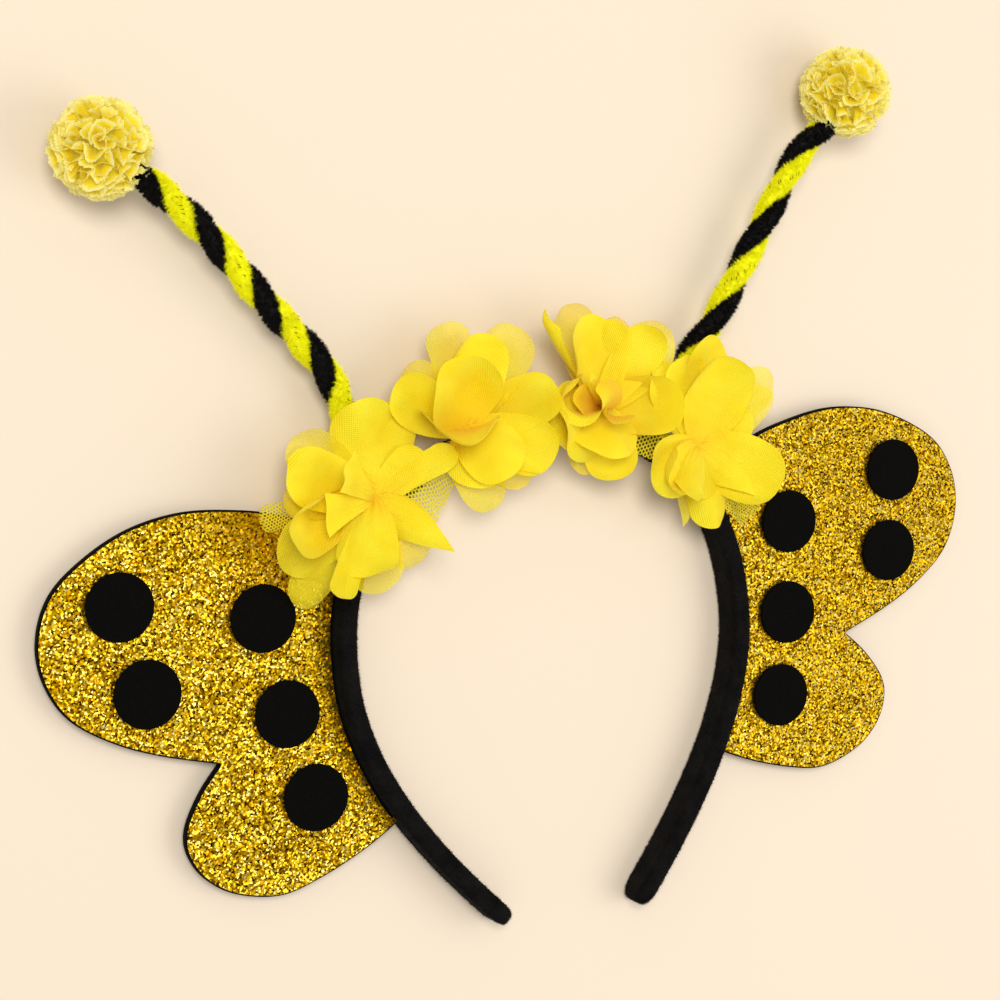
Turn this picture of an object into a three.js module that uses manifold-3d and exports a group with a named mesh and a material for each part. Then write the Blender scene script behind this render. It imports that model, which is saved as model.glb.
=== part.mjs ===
// Bee antenna headband in millimetres, lying on the flat back of its band.
// X runs to the right, Y up the arch towards the antennas, Z from the back to the face.
import * as THREE from 'three';
import { mergeVertices } from 'three/addons/utils/BufferGeometryUtils.js';
import Module from 'manifold-3d';

const wasm = await Module();
wasm.setup();

// Clearance left between two pieces that touch
const gap = 0.3;

// Velvet covered band
const archHalfWidth = 67.2;
const archRise = 65;
const archSquareness = 2.3;
const shoulderHeight = 63;
const legFlare = THREE.MathUtils.degToRad(48);
const legEase = 48;
const leftLegLength = 95;
const rightLegLength = 101.5;
const bandThickness = 6;
const bandDepth = 11.5;
const bandCorner = 2;

// Wings of black foam faced with a gold glitter sheet
const wingHalfSpan = 157;
const wingTop = 120;
const wingNotch = 46;
const wingFoot = 3.6;
const foamThickness = 1.9;
const glitterThickness = 0.8;
const wingBack = 2.75;

// Felt dots on the wings
const dotRadius = 10;
const dotThickness = 1;

// Antennas, each of a black and a yellow chenille stem twisted together
const strandRadius = 3.2;
const strandOffset = 1.15;
const leftPitch = 25.1;
const rightPitch = 33.8;
const leftPhase = 0.16;
const rightPhase = -0.08;
const antennaRise = 92;
const antennaSpread = 122;
const pompomCentreHeight = 14.85;
const antennaRootHeight = 6;

// Ruffled tulle pompoms
const pompomRadius = 14.15;
const ruffleCount = 7;
const ruffleWall = 1.2;

// Tulle strip that the flowers are sewn on
const stripWall = 1;
const stripLap = 9;

// Chiffon flowers
const flowerRadius = 30;
const petalWidth = 20;
const petalWall = 1;
const flowerHeight = 15;
const flowerOut = 7;
const buttonRadius = 5.5;

const material = (color, roughness, metalness = 0) =>
  new THREE.MeshStandardMaterial({ color, roughness, metalness });
const blackVelvet = material(0x0b0a0a, 0.95);
const blackFoam = material(0x161514, 0.85);
const goldGlitter = material(0xc79a25, 0.35, 0.7);
const blackFelt = material(0x12110f, 0.95);
const blackChenille = material(0x0d0c0b, 0.95);
const yellowChenille = material(0xf7ee14, 0.9);
const paleTulle = material(0xf8e66a, 0.85);
const yellowNet = material(0xf0d53a, 0.85);
const yellowChiffon = material(0xffe431, 0.75);

const headband = new THREE.Group();

// Geometry helpers

// A closed body from points and triangles, turned so that its faces point out
function closedGeometry(points, triangles) {
  let volume = 0;
  for (const [a, b, c] of triangles) {
    volume += points[a].dot(new THREE.Vector3().crossVectors(points[b], points[c])) / 6;
  }
  const faces = volume < 0 ? triangles.map(([a, b, c]) => [a, c, b]) : triangles;
  const geometry = new THREE.BufferGeometry();
  geometry.setAttribute('position',
    new THREE.Float32BufferAttribute(points.flatMap((p) => [p.x, p.y, p.z]), 3));
  geometry.setIndex(faces.flat());
  return geometry;
}

// Skins rings of equally many points, with a cap cut from the ring's flat outline at each end
function loft(rings, outline) {
  const n = rings[0].length;
  const points = rings.flat();
  const triangles = [];
  for (let i = 0; i + 1 < rings.length; i += 1) {
    for (let j = 0; j < n; j += 1) {
      const k = (j + 1) % n;
      triangles.push([i * n + j, i * n + k, (i + 1) * n + k]);
      triangles.push([i * n + j, (i + 1) * n + k, (i + 1) * n + j]);
    }
  }
  const last = (rings.length - 1) * n;
  for (const [a, b, c] of THREE.ShapeUtils.triangulateShape(outline, [])) {
    triangles.push([a, c, b], [last + a, last + b, last + c]);
  }
  return closedGeometry(points, triangles);
}

function toSolid(geometry) {
  const bare = geometry.clone();
  for (const name of ['normal', 'uv']) bare.deleteAttribute(name);
  const merged = mergeVertices(bare, 1e-4);
  return new wasm.Manifold(new wasm.Mesh({
    numProp: 3,
    vertProperties: merged.attributes.position.array,
    triVerts: Uint32Array.from(merged.index.array),
  }));
}

// The largest body that a cut leaves, as a geometry
function toGeometry(solid) {
  const bodies = solid.decompose();
  bodies.sort((a, b) => b.volume() - a.volume());
  const mesh = bodies[0].getMesh();
  const geometry = new THREE.BufferGeometry();
  geometry.setAttribute('position', new THREE.BufferAttribute(mesh.vertProperties, 3));
  geometry.setIndex(new THREE.BufferAttribute(mesh.triVerts, 1));
  geometry.computeVertexNormals();
  return geometry;
}

function addPiece(name, geometry, look) {
  const mesh = new THREE.Mesh(geometry, look);
  mesh.name = name;
  headband.add(mesh);
}

// Arch of the band

// One leg from the shoulder down, on the right side, easing from upright to its full flare
function legPoints(length, count) {
  const points = [];
  const fineSteps = 12;
  const step = length / (count * fineSteps);
  let x = archHalfWidth;
  let y = shoulderHeight;
  for (let i = 1; i <= count * fineSteps; i += 1) {
    const heading = legFlare * (1 - Math.exp(-(i - 0.5) * step / legEase));
    x -= step * Math.sin(heading);
    y -= step * Math.cos(heading);
    if (i % fineSteps === 0) points.push(new THREE.Vector2(x, y));
  }
  return points;
}

// A point of the crown at an angle from 0 on the right to pi on the left
function crownPoint(angle) {
  const power = 2 / archSquareness;
  const across = Math.cos(angle);
  return new THREE.Vector2(
    Math.sign(across) * archHalfWidth * Math.abs(across) ** power,
    shoulderHeight + archRise * Math.abs(Math.sin(angle)) ** power);
}

// The band's centreline from the left tip over the crown to the right tip
function archLine() {
  const crownSteps = 28;
  const legSteps = 8;
  const left = legPoints(leftLegLength, legSteps).reverse();
  const crown = Array.from({ length: crownSteps + 1 },
    (_, i) => crownPoint(Math.PI * (1 - i / crownSteps)));
  return [
    ...left.map((p) => new THREE.Vector2(-p.x, p.y)),
    ...crown,
    ...legPoints(rightLegLength, legSteps),
  ];
}

// Adds the outward direction at each point of a line that runs clockwise over the arch
function withNormals(line) {
  return line.map((point, i) => {
    const along = line[Math.min(i + 1, line.length - 1)].clone()
      .sub(line[Math.max(i - 1, 0)]).normalize();
    return { point, out: new THREE.Vector2(-along.y, along.x), along };
  });
}

// Places a section of (outward, height) pairs at a station of the arch
function ringAt(station, section, shift = 0) {
  return section.map((s) => new THREE.Vector3(
    station.point.x + station.out.x * s.x + station.along.x * shift,
    station.point.y + station.out.y * s.x + station.along.y * shift,
    s.y));
}

function roundedSection(thickness, depth, corner) {
  const cornerSteps = 2;
  const section = [];
  const signs = [[1, 1], [-1, 1], [-1, -1], [1, -1]];
  signs.forEach(([sx, sy], quarter) => {
    for (let i = 0; i <= cornerSteps; i += 1) {
      const angle = (quarter + i / cornerSteps) * Math.PI / 2;
      section.push(new THREE.Vector2(
        sx * (thickness / 2 - corner) + corner * Math.cos(angle),
        bandDepth / 2 + sy * (depth / 2 - corner) + corner * Math.sin(angle)));
    }
  });
  return section;
}

const arch = withNormals(archLine());

// The band, or the space that its neighbours keep clear when grown by the gap
function bandGeometry(grow = 0) {
  const section = roundedSection(
    bandThickness + 2 * grow, bandDepth + 2 * grow, bandCorner + grow);
  const tip = [{ size: 0.4, shift: 0 }, { size: 0.72, shift: 0.9 }, { size: 0.92, shift: 2.8 },
    { size: 1, shift: 5 }];
  const middle = new THREE.Vector2(0, bandDepth / 2);
  const tipRing = (station, { size, shift }, sign) => ringAt(station,
    section.map((s) => s.clone().sub(middle).multiplyScalar(size).add(middle)),
    sign * (shift - grow));
  const rings = [
    ...tip.map((row) => tipRing(arch[0], row, 1)),
    ...arch.slice(1, -1).map((station) => ringAt(station, section)),
    ...tip.map((row) => tipRing(arch.at(-1), row, -1)).reverse(),
  ];
  return loft(rings, section);
}

addPiece('headband', bandGeometry(), blackVelvet);
const bandClear = toSolid(bandGeometry(gap));

// Wings

// Outer edge of the right wing: out as a share of the half span, up as a share of the lobe
const upperLobe = [
  { out: 0.395, up: 0.80 }, { out: 0.51, up: 0.925 }, { out: 0.61, up: 0.98 },
  { out: 0.71, up: 1 }, { out: 0.81, up: 0.965 }, { out: 0.90, up: 0.875 },
  { out: 0.965, up: 0.76 }, { out: 0.997, up: 0.60 }, { out: 0.993, up: 0.435 },
  { out: 0.955, up: 0.28 }, { out: 0.88, up: 0.16 }, { out: 0.795, up: 0.075 },
  { out: 0.69, up: 0 },
];
const lowerLobe = [
  { out: 0.69, up: 1 }, { out: 0.735, up: 0.82 }, { out: 0.77, up: 0.6 },
  { out: 0.772, up: 0.42 }, { out: 0.745, up: 0.23 }, { out: 0.69, up: 0.08 },
  { out: 0.605, up: 0 }, { out: 0.52, up: 0.06 }, { out: 0.42, up: 0.2 },
  { out: 0.33, up: 0.38 },
];

function wingShape() {
  const spot = (row, low, high) =>
    new THREE.Vector2(row.out * wingHalfSpan, low + row.up * (high - low));
  const upper = upperLobe.map((row) => spot(row, wingNotch, wingTop));
  const lower = lowerLobe.map((row) => spot(row, wingFoot, wingNotch));
  const lobeSteps = 19;
  const underBand = arch
    .filter(({ point }) => point.x > 0 && point.y > lower.at(-1).y && point.y < upper[0].y)
    .map(({ point }) => point)
    .reverse();
  return new THREE.Shape([
    ...new THREE.SplineCurve(upper).getSpacedPoints(lobeSteps),
    ...new THREE.SplineCurve(lower).getSpacedPoints(lobeSteps).slice(1),
    ...underBand,
  ]);
}

// A sheet of the wing that ends against the band's outer side
function wingSheet(back, thickness) {
  const sheet = new THREE.ExtrudeGeometry(wingShape(), { depth: thickness, bevelEnabled: false });
  sheet.translate(0, 0, back);
  return toGeometry(toSolid(sheet).subtract(bandClear));
}

function mirrored(geometry) {
  const copy = geometry.clone().scale(-1, 1, 1);
  const index = copy.index.array;
  for (let i = 0; i < index.length; i += 3) {
    [index[i + 1], index[i + 2]] = [index[i + 2], index[i + 1]];
  }
  copy.computeVertexNormals();
  return copy;
}

const glitterBack = wingBack + foamThickness + gap;
const wingFace = glitterBack + glitterThickness;
const rightFoam = wingSheet(wingBack, foamThickness);
const rightGlitter = wingSheet(glitterBack, glitterThickness);
addPiece('right_wing_foam', rightFoam, blackFoam);
addPiece('right_wing_glitter', rightGlitter, goldGlitter);
addPiece('left_wing_foam', mirrored(rightFoam), blackFoam);
addPiece('left_wing_glitter', mirrored(rightGlitter), goldGlitter);

// Dot centres as shares of the wing's half span and top
const dots = [
  { out: 0.841, up: 0.804 },
  { out: 0.811, up: 0.587 },
  { out: 0.575, up: 0.716 },
  { out: 0.551, up: 0.473 },
  { out: 0.515, up: 0.254 },
];

function dotGeometry(side, { out, up }) {
  const dotSides = 14;
  const disc = new THREE.CylinderGeometry(dotRadius, dotRadius, dotThickness, dotSides);
  disc.rotateX(Math.PI / 2);
  disc.translate(side * out * wingHalfSpan, up * wingTop,
    wingFace + gap + dotThickness / 2);
  return toGeometry(toSolid(disc).subtract(bandClear));
}

for (const [name, side] of [['left', -1], ['right', 1]]) {
  dots.forEach((dot, i) => addPiece(`${name}_dot_${i + 1}`, dotGeometry(side, dot), blackFelt));
}

// Antennas

// Middle line of each antenna from the band to the pompom: out as a share of the spread,
// up as a share of the rise above the crown
const crownTop = shoulderHeight + archRise;
const leftAntennaLine = [
  { out: 0.375, up: -0.155 }, { out: 0.445, up: 0.02 }, { out: 0.48, up: 0.148 },
  { out: 0.515, up: 0.285 }, { out: 0.652, up: 0.53 }, { out: 0.782, up: 0.768 },
  { out: 0.9, up: 0.928 }, { out: 1.007, up: 1.043 },
];
const rightAntennaLine = [
  { out: 0.34, up: -0.13 }, { out: 0.43, up: 0.06 }, { out: 0.485, up: 0.18 },
  { out: 0.54, up: 0.253 }, { out: 0.705, up: 0.552 }, { out: 0.858, up: 0.824 },
  { out: 0.924, up: 0.893 }, { out: 0.99, up: 0.997 },
];

function antennaCurve(side, rows) {
  return new THREE.CatmullRomCurve3(rows.map(({ out, up }, i) => new THREE.Vector3(
    side * out * antennaSpread,
    crownTop + up * antennaRise,
    THREE.MathUtils.lerp(antennaRootHeight, pompomCentreHeight, i / (rows.length - 1)))));
}

// Carries an outline along a curve, turned about it by an angle that depends on the place
function carried(curve, end, steps, outline, angleAt) {
  const length = curve.getLength();
  const forward = new THREE.Vector3(0, 0, 1);
  const rings = Array.from({ length: steps + 1 }, (_, i) => {
    const along = end * i / steps;
    const u = THREE.MathUtils.clamp(along / length, 0, 1);
    const tangent = curve.getTangentAt(u);
    const across = new THREE.Vector3().crossVectors(tangent, forward).normalize();
    const face = new THREE.Vector3().crossVectors(across, tangent);
    const angle = angleAt(length - along);
    return outline.map((s) => curve.getPointAt(u)
      .addScaledVector(face, s.x * Math.cos(angle) - s.y * Math.sin(angle))
      .addScaledVector(across, s.x * Math.sin(angle) + s.y * Math.cos(angle)));
  });
  return loft(rings, outline);
}

// Section of one stem: a round of pile pressed flat where it meets the other stem
function strandOutline(grow = 0) {
  const sides = 6;
  const radius = strandRadius + grow;
  const flat = gap / 2 - grow;
  const opening = Math.acos((flat - strandOffset) / radius);
  return Array.from({ length: sides + 1 }, (_, j) => {
    const angle = opening * (2 * j / sides - 1);
    return new THREE.Vector2(
      strandOffset + radius * Math.cos(angle), radius * Math.sin(angle));
  });
}

const antennas = [
  { name: 'left', curve: antennaCurve(-1, leftAntennaLine), pitch: leftPitch, phase: leftPhase },
  { name: 'right', curve: antennaCurve(1, rightAntennaLine), pitch: rightPitch, phase: rightPhase },
];

// The two stems end on the band below, and in the pompom's head above
const pompomCore = 0.72 * pompomRadius;
const stemStop = 0.6 * pompomCore;
const stepsPerTurn = 7;
for (const antenna of antennas) {
  const { name, curve, pitch, phase } = antenna;
  const end = curve.getLength() - stemStop;
  const steps = Math.ceil(stepsPerTurn * end / pitch);
  const strand = (turn, grow = 0) => toSolid(carried(curve, end, steps, strandOutline(grow),
    (left) => phase + turn - 2 * Math.PI * left / pitch));
  const yellow = strand(0).subtract(bandClear);
  const black = strand(Math.PI).subtract(bandClear).subtract(strand(0, gap));
  addPiece(`${name}_antenna_black`, toGeometry(black), blackChenille);
  addPiece(`${name}_antenna_yellow`, toGeometry(yellow), yellowChenille);
  const envelopeSides = 10;
  const envelopeSteps = 24;
  const envelopeRadius = (strandOffset + strandRadius + gap) / Math.cos(Math.PI / envelopeSides);
  const envelope = Array.from({ length: envelopeSides }, (_, j) => new THREE.Vector2(
    envelopeRadius * Math.cos(2 * Math.PI * j / envelopeSides),
    envelopeRadius * Math.sin(2 * Math.PI * j / envelopeSides)));
  antenna.clear = toSolid(carried(curve, end + gap, envelopeSteps, envelope, () => 0));
}

// Pompoms

// A thin upright leaf of net that waves from side to side and reaches from the head outwards
function ruffleGeometry(turn) {
  const rowCount = 7;
  const reaches = [0.55, 1];
  const waves = 4;
  const swing = 0.13;
  const waveLag = 2.1;
  const poleShare = 0.03;
  const points = [];
  for (const side of [-1, 1]) {
    for (const reach of reaches) {
      for (let i = 0; i < rowCount; i += 1) {
        const upward = THREE.MathUtils.lerp(poleShare, 1 - poleShare, i / (rowCount - 1));
        const rise = Math.PI * (upward - 0.5);
        const radius = reach * pompomRadius;
        const sway = swing * Math.sin(waves * rise + waveLag * turn) * reach;
        const wall = side * ruffleWall / 2;
        const level = Math.max(radius * Math.cos(rise), ruffleWall);
        points.push(new THREE.Vector3(
          level * Math.cos(turn + sway) - wall * Math.sin(turn + sway),
          level * Math.sin(turn + sway) + wall * Math.cos(turn + sway),
          radius * Math.sin(rise)));
      }
    }
  }
  const at = (side, reach, i) => (side * 2 + reach) * rowCount + i;
  const triangles = [];
  const quad = (a, b, c, d) => triangles.push([a, b, c], [a, c, d]);
  for (let i = 0; i + 1 < rowCount; i += 1) {
    quad(at(0, 0, i), at(0, 1, i), at(0, 1, i + 1), at(0, 0, i + 1));
    quad(at(1, 0, i + 1), at(1, 1, i + 1), at(1, 1, i), at(1, 0, i));
    quad(at(0, 1, i), at(1, 1, i), at(1, 1, i + 1), at(0, 1, i + 1));
    quad(at(1, 0, i), at(0, 0, i), at(0, 0, i + 1), at(1, 0, i + 1));
  }
  const top = rowCount - 1;
  quad(at(0, 0, 0), at(1, 0, 0), at(1, 1, 0), at(0, 1, 0));
  quad(at(0, 1, top), at(1, 1, top), at(1, 0, top), at(0, 0, top));
  return closedGeometry(points, triangles);
}

function pompomSolid(place) {
  const headSides = 10;
  const head = new THREE.SphereGeometry(pompomCore, headSides, headSides / 2);
  const firstTurn = 0.25;
  let solid = toSolid(head.applyMatrix4(place));
  for (let i = 0; i < ruffleCount; i += 1) {
    const ruffle = ruffleGeometry(2 * Math.PI * (i + firstTurn) / ruffleCount);
    solid = solid.add(toSolid(ruffle.applyMatrix4(place)));
  }
  return solid;
}

// Each pompom sits on the end of its antenna, its ruffles gathered about the antenna's line
for (const { name, curve, clear } of antennas) {
  const gathered = new THREE.Quaternion()
    .setFromUnitVectors(new THREE.Vector3(0, 0, 1), curve.getTangentAt(1));
  const place = new THREE.Matrix4()
    .compose(curve.getPointAt(1), gathered, new THREE.Vector3(1, 1, 1));
  addPiece(`${name}_pompom`, toGeometry(pompomSolid(place).subtract(clear)), paleTulle);
}

// Tulle strip

// Rows run from the strip's left end to its right end: lap is how far the net hangs below the
// band's inner side as a share of the strip's lap
const stripEnds = { from: THREE.MathUtils.degToRad(143), to: THREE.MathUtils.degToRad(32) };
const stripLaps = [0.1, 0.3, 0.9, 1, 0.5, 0.2, 0.1, 0.1, 0.15, 0.1, 0.1, 0.15, 0.1, 0.1, 0.15, 0.2];

function stripGeometry(grow = 0) {
  const count = stripLaps.length - 1;
  const inner = bandThickness / 2 + gap;
  const face = bandDepth + gap;
  const ends = grow / archHalfWidth;
  const stations = withNormals(Array.from({ length: count + 1 }, (_, i) => crownPoint(
    THREE.MathUtils.lerp(stripEnds.from + ends, stripEnds.to - ends, i / count))));
  let outline;
  const rings = stations.map((station, i) => {
    const lap = stripLap * stripLaps[i];
    const section = [
      [-inner - lap - grow, face - grow], [inner - grow, face - grow],
      [inner - grow, wingFace + gap - grow],
      [inner + stripWall + grow, wingFace + gap - grow],
      [inner + stripWall + grow, face + stripWall + grow],
      [-inner - lap - grow, face + stripWall + grow],
    ].map(([out, height]) => new THREE.Vector2(out, height));
    outline = section;
    return ringAt(station, section);
  });
  return loft(rings, outline);
}

let strip = toSolid(stripGeometry());
for (const { clear } of antennas) strip = strip.subtract(clear);
addPiece('tulle_strip', toGeometry(strip), yellowNet);

// Flowers

// A petal is a bent oval sheet. turn is its direction seen from the face and lift its rise
// towards the face, both in degrees. reach and width are shares of the flower's radius and the
// petal width. cup bends its sides up, bow bends its length and spin rolls it about its length.
// tip is how far its end is drawn out: 1 for a half circle, more for a point, less for a cut edge.
const flowers = [
  {
    name: 'flower_1', angle: 136, petals: [
      { turn: 92, reach: 1.02, lift: 8, width: 1, cup: -16, bow: 0.06, spin: 0, tip: 1 },
      { turn: 141, reach: 1.1, lift: 3, width: 0.85, cup: 8, bow: 0.05, spin: 0, tip: 1 },
      { turn: 154, reach: 1.05, lift: 12, width: 0.9, cup: 14, bow: 0.05, spin: 0, tip: 1 },
      { turn: 170, reach: 0.97, lift: 0, width: 0.62, cup: 0, bow: 0.04, spin: 0, tip: 1 },
      { turn: 140, reach: 0.72, lift: 36, width: 0.72, cup: 8, bow: 0.02, spin: 15, tip: 0.3 },
      { turn: 190, reach: 1.12, lift: 17, width: 1, cup: 66, bow: 0.2, spin: -12, tip: 1 },
      { turn: 204, reach: 1.15, lift: 0, width: 0.9, cup: 8, bow: 0.04, spin: 0, tip: 1 },
      { turn: 229, reach: 1.2, lift: 28, width: 0.44, cup: 36, bow: 0.1, spin: 20, tip: 1 },
      { turn: 226, reach: 1.28, lift: -3, width: 0.66, cup: 8, bow: 0.03, spin: 0, tip: 1 },
      { turn: 238, reach: 0.88, lift: 36, width: 0.95, cup: -30, bow: 0.06, spin: 25, tip: 1 },
      { turn: 320, reach: 0.94, lift: 29, width: 0.78, cup: -58, bow: 0.02, spin: 12, tip: 2.6 },
      { turn: 262, reach: 0.92, lift: 6, width: 0.9, cup: 8, bow: 0.05, spin: 0, tip: 1 },
      { turn: 40, reach: 0.97, lift: 6, width: 1.1, cup: -20, bow: 0.05, spin: 0, tip: 1 },
    ],
  },
  {
    name: 'flower_2', angle: 109, petals: [
      { turn: 104, reach: 0.87, lift: 26, width: 1.4, cup: 48, bow: 0.14, spin: 0, tip: 1 },
      { turn: 189, reach: 0.7, lift: 58, width: 1.45, cup: 66, bow: 0.06, spin: 90, tip: 0.7 },
      { turn: 74, reach: 0.97, lift: 12, width: 0.95, cup: 8, bow: 0.05, spin: 0, tip: 1 },
      { turn: 93, reach: 1.07, lift: 3, width: 0.7, cup: 0, bow: 0.04, spin: 0, tip: 1 },
      { turn: 54, reach: 1.15, lift: 0, width: 0.9, cup: 6, bow: 0.05, spin: 0, tip: 1 },
      { turn: 146, reach: 0.9, lift: 8, width: 0.85, cup: 10, bow: 0.05, spin: 0, tip: 1 },
      { turn: 17, reach: 1.02, lift: 19, width: 1.05, cup: 70, bow: 0.22, spin: -8, tip: 1 },
      { turn: 303, reach: 0.72, lift: 46, width: 1, cup: -30, bow: -0.08, spin: 0, tip: 1 },
      { turn: 290, reach: 0.64, lift: 28, width: 1.1, cup: -12, bow: 0, spin: 0, tip: 1 },
      { turn: 283, reach: 0.87, lift: 6, width: 0.84, cup: 6, bow: 0.05, spin: 0, tip: 1 },
      { turn: 337, reach: 0.97, lift: 12, width: 0.9, cup: 14, bow: 0.05, spin: 0, tip: 1 },
    ],
  },
  {
    name: 'flower_3', angle: 72, petals: [
      { turn: 106, reach: 1.11, lift: 1, width: 0.72, cup: 0, bow: 0.05, spin: 0, tip: 1 },
      { turn: 123, reach: 1.22, lift: 6, width: 0.44, cup: 30, bow: 0.04, spin: 68, tip: 1.3 },
      { turn: 104, reach: 1, lift: 16, width: 0.95, cup: 30, bow: 0.08, spin: 14, tip: 1 },
      { turn: 84, reach: 0.9, lift: 16, width: 0.75, cup: 36, bow: 0.08, spin: -20, tip: 1 },
      { turn: 42, reach: 1.06, lift: 6, width: 0.95, cup: 10, bow: 0.06, spin: 0, tip: 1 },
      { turn: 355, reach: 0.8, lift: 27, width: 1.05, cup: 60, bow: 0.24, spin: -10, tip: 1 },
      { turn: 167, reach: 0.82, lift: 34, width: 1.15, cup: 105, bow: 0.14, spin: 0, tip: 1 },
      { turn: 192, reach: 0.86, lift: 50, width: 0.34, cup: -66, bow: 0.1, spin: 30, tip: 1.6 },
      { turn: 248, reach: 0.64, lift: 40, width: 1.2, cup: -18, bow: -0.06, spin: 0, tip: 1 },
      { turn: 272, reach: 0.76, lift: 10, width: 0.9, cup: 6, bow: 0.05, spin: 0, tip: 1 },
    ],
  },
  {
    name: 'flower_4', angle: 44, petals: [
      { turn: 66, reach: 1, lift: 22, width: 1.3, cup: 30, bow: 0.1, spin: 0, tip: 1 },
      { turn: 81, reach: 1.17, lift: 6, width: 0.72, cup: 10, bow: 0.05, spin: 0, tip: 1.2 },
      { turn: 36, reach: 1.17, lift: 1, width: 0.6, cup: 8, bow: 0.04, spin: 0, tip: 1.6 },
      { turn: 36, reach: 0.92, lift: 10, width: 0.8, cup: 12, bow: 0.04, spin: 0, tip: 1.2 },
      { turn: 116, reach: 1, lift: 5, width: 0.7, cup: 0, bow: 0.05, spin: 0, tip: 1 },
      { turn: 326, reach: 0.96, lift: 18, width: 1.1, cup: -14, bow: 0.03, spin: 0, tip: 1 },
      { turn: 271, reach: 0.87, lift: 8, width: 0.66, cup: -28, bow: 0, spin: 0, tip: 1 },
      { turn: 252, reach: 0.86, lift: 0, width: 0.5, cup: -20, bow: 0.02, spin: 0, tip: 2.4 },
      { turn: 201, reach: 0.78, lift: 18, width: 0.95, cup: 14, bow: 0.05, spin: 0, tip: 1 },
      { turn: 207, reach: 0.8, lift: 33, width: 0.85, cup: 72, bow: 0.24, spin: 0, tip: 1 },
      { turn: 228, reach: 0.88, lift: 44, width: 0.56, cup: -40, bow: 0.08, spin: 12, tip: 1.9 },
    ],
  },
];

// Half width of a petal along its length, as a share of its greatest, where the tip is a half
// circle. A tip that is drawn out narrows it by the power in taper.
const petalOutline = [
  { along: 0, wide: 0.3, taper: 0 }, { along: 0.38, wide: 0.93, taper: 0 },
  { along: 0.8, wide: 0.94, taper: 0.5 }, { along: 1, wide: 0.42, taper: 1.5 },
];

function petalGeometry(centre, { turn, reach, lift, width, cup, bow, spin, tip }, grow = 0) {
  const [turnAngle, liftAngle, cupAngle, spinAngle] =
    [turn, lift, cup, spin].map(THREE.MathUtils.degToRad);
  const along = new THREE.Vector3(Math.cos(turnAngle) * Math.cos(liftAngle),
    Math.sin(turnAngle) * Math.cos(liftAngle), Math.sin(liftAngle));
  const side = new THREE.Vector3(-Math.sin(turnAngle), Math.cos(turnAngle), 0)
    .applyAxisAngle(along, spinAngle);
  const up = new THREE.Vector3().crossVectors(along, side);
  const deepCup = 40;
  const columns = Math.abs(cup) > deepCup ? 3 : 2;
  const wall = petalWall / 2 + grow;
  const points = [];
  for (const face of [-1, 1]) {
    for (const row of petalOutline) {
      const share = Math.min(1, row.wide / tip ** row.taper);
      const halfWidth = share * width * petalWidth / 2 + grow;
      const sag = -4 * bow * reach * flowerRadius * row.along * (1 - row.along);
      const forward = row.along * (reach * flowerRadius + grow);
      const bend = cupAngle === 0 ? 1e-4 : cupAngle * share;
      const radius = halfWidth / bend;
      for (let j = 0; j <= columns; j += 1) {
        const angle = bend * (2 * j / columns - 1);
        points.push(centre.clone()
          .addScaledVector(along, forward)
          .addScaledVector(side, (radius - face * wall) * Math.sin(angle))
          .addScaledVector(up, sag + radius - (radius - face * wall) * Math.cos(angle)));
      }
    }
  }
  const n = columns + 1;
  const rows = petalOutline.length;
  const at = (face, i, j) => (face * rows + i) * n + j;
  const triangles = [];
  const quad = (a, b, c, d) => triangles.push([a, b, c], [a, c, d]);
  for (let i = 0; i + 1 < rows; i += 1) {
    for (let j = 0; j < columns; j += 1) {
      quad(at(0, i, j), at(0, i, j + 1), at(0, i + 1, j + 1), at(0, i + 1, j));
      quad(at(1, i + 1, j), at(1, i + 1, j + 1), at(1, i, j + 1), at(1, i, j));
    }
    quad(at(0, i + 1, 0), at(1, i + 1, 0), at(1, i, 0), at(0, i, 0));
    quad(at(0, i, columns), at(1, i, columns), at(1, i + 1, columns), at(0, i + 1, columns));
  }
  for (let j = 0; j < columns; j += 1) {
    quad(at(1, 0, j), at(1, 0, j + 1), at(0, 0, j + 1), at(0, 0, j));
    quad(at(0, rows - 1, j), at(0, rows - 1, j + 1), at(1, rows - 1, j + 1), at(1, rows - 1, j));
  }
  return closedGeometry(points, triangles);
}

function flowerCentre(angle) {
  const turn = THREE.MathUtils.degToRad(angle);
  const ray = new THREE.Vector2(Math.cos(turn), Math.sin(turn));
  const share = (Math.abs(ray.x / archHalfWidth) ** archSquareness
    + Math.abs(ray.y / archRise) ** archSquareness) ** (-1 / archSquareness);
  return new THREE.Vector3(ray.x * (share + flowerOut),
    shoulderHeight + ray.y * (share + flowerOut), flowerHeight);
}

// Petals fused to the button in the middle that is sewn to the strip
function flowerSolid({ angle, petals }, grow = 0) {
  const centre = flowerCentre(angle);
  const buttonSides = 6;
  const button = new THREE.SphereGeometry(buttonRadius + grow, buttonSides, buttonSides / 2);
  button.translate(centre.x, centre.y, centre.z);
  return petals.reduce(
    (solid, petal) => solid.add(toSolid(petalGeometry(centre, petal, grow))), toSolid(button));
}

// The space of a wing and its dots, with the gap round it
function wingClear() {
  const height = foamThickness + glitterThickness + dotThickness + 4 * gap;
  const slab = new THREE.ExtrudeGeometry(wingShape(), { depth: height, bevelEnabled: false });
  slab.translate(0, 0, wingBack - gap);
  const right = toSolid(slab);
  return right.add(toSolid(mirrored(toGeometry(right))));
}

// What a flower keeps clear of: the band, the strip, the wings, the antennas and the flower
// before it
let taken = bandClear.add(toSolid(stripGeometry(gap))).add(wingClear());
for (const { clear } of antennas) taken = taken.add(clear);
for (const flower of flowers) {
  addPiece(flower.name, toGeometry(flowerSolid(flower).subtract(taken)), yellowChiffon);
  taken = taken.add(flowerSolid(flower, gap));
}

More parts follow.
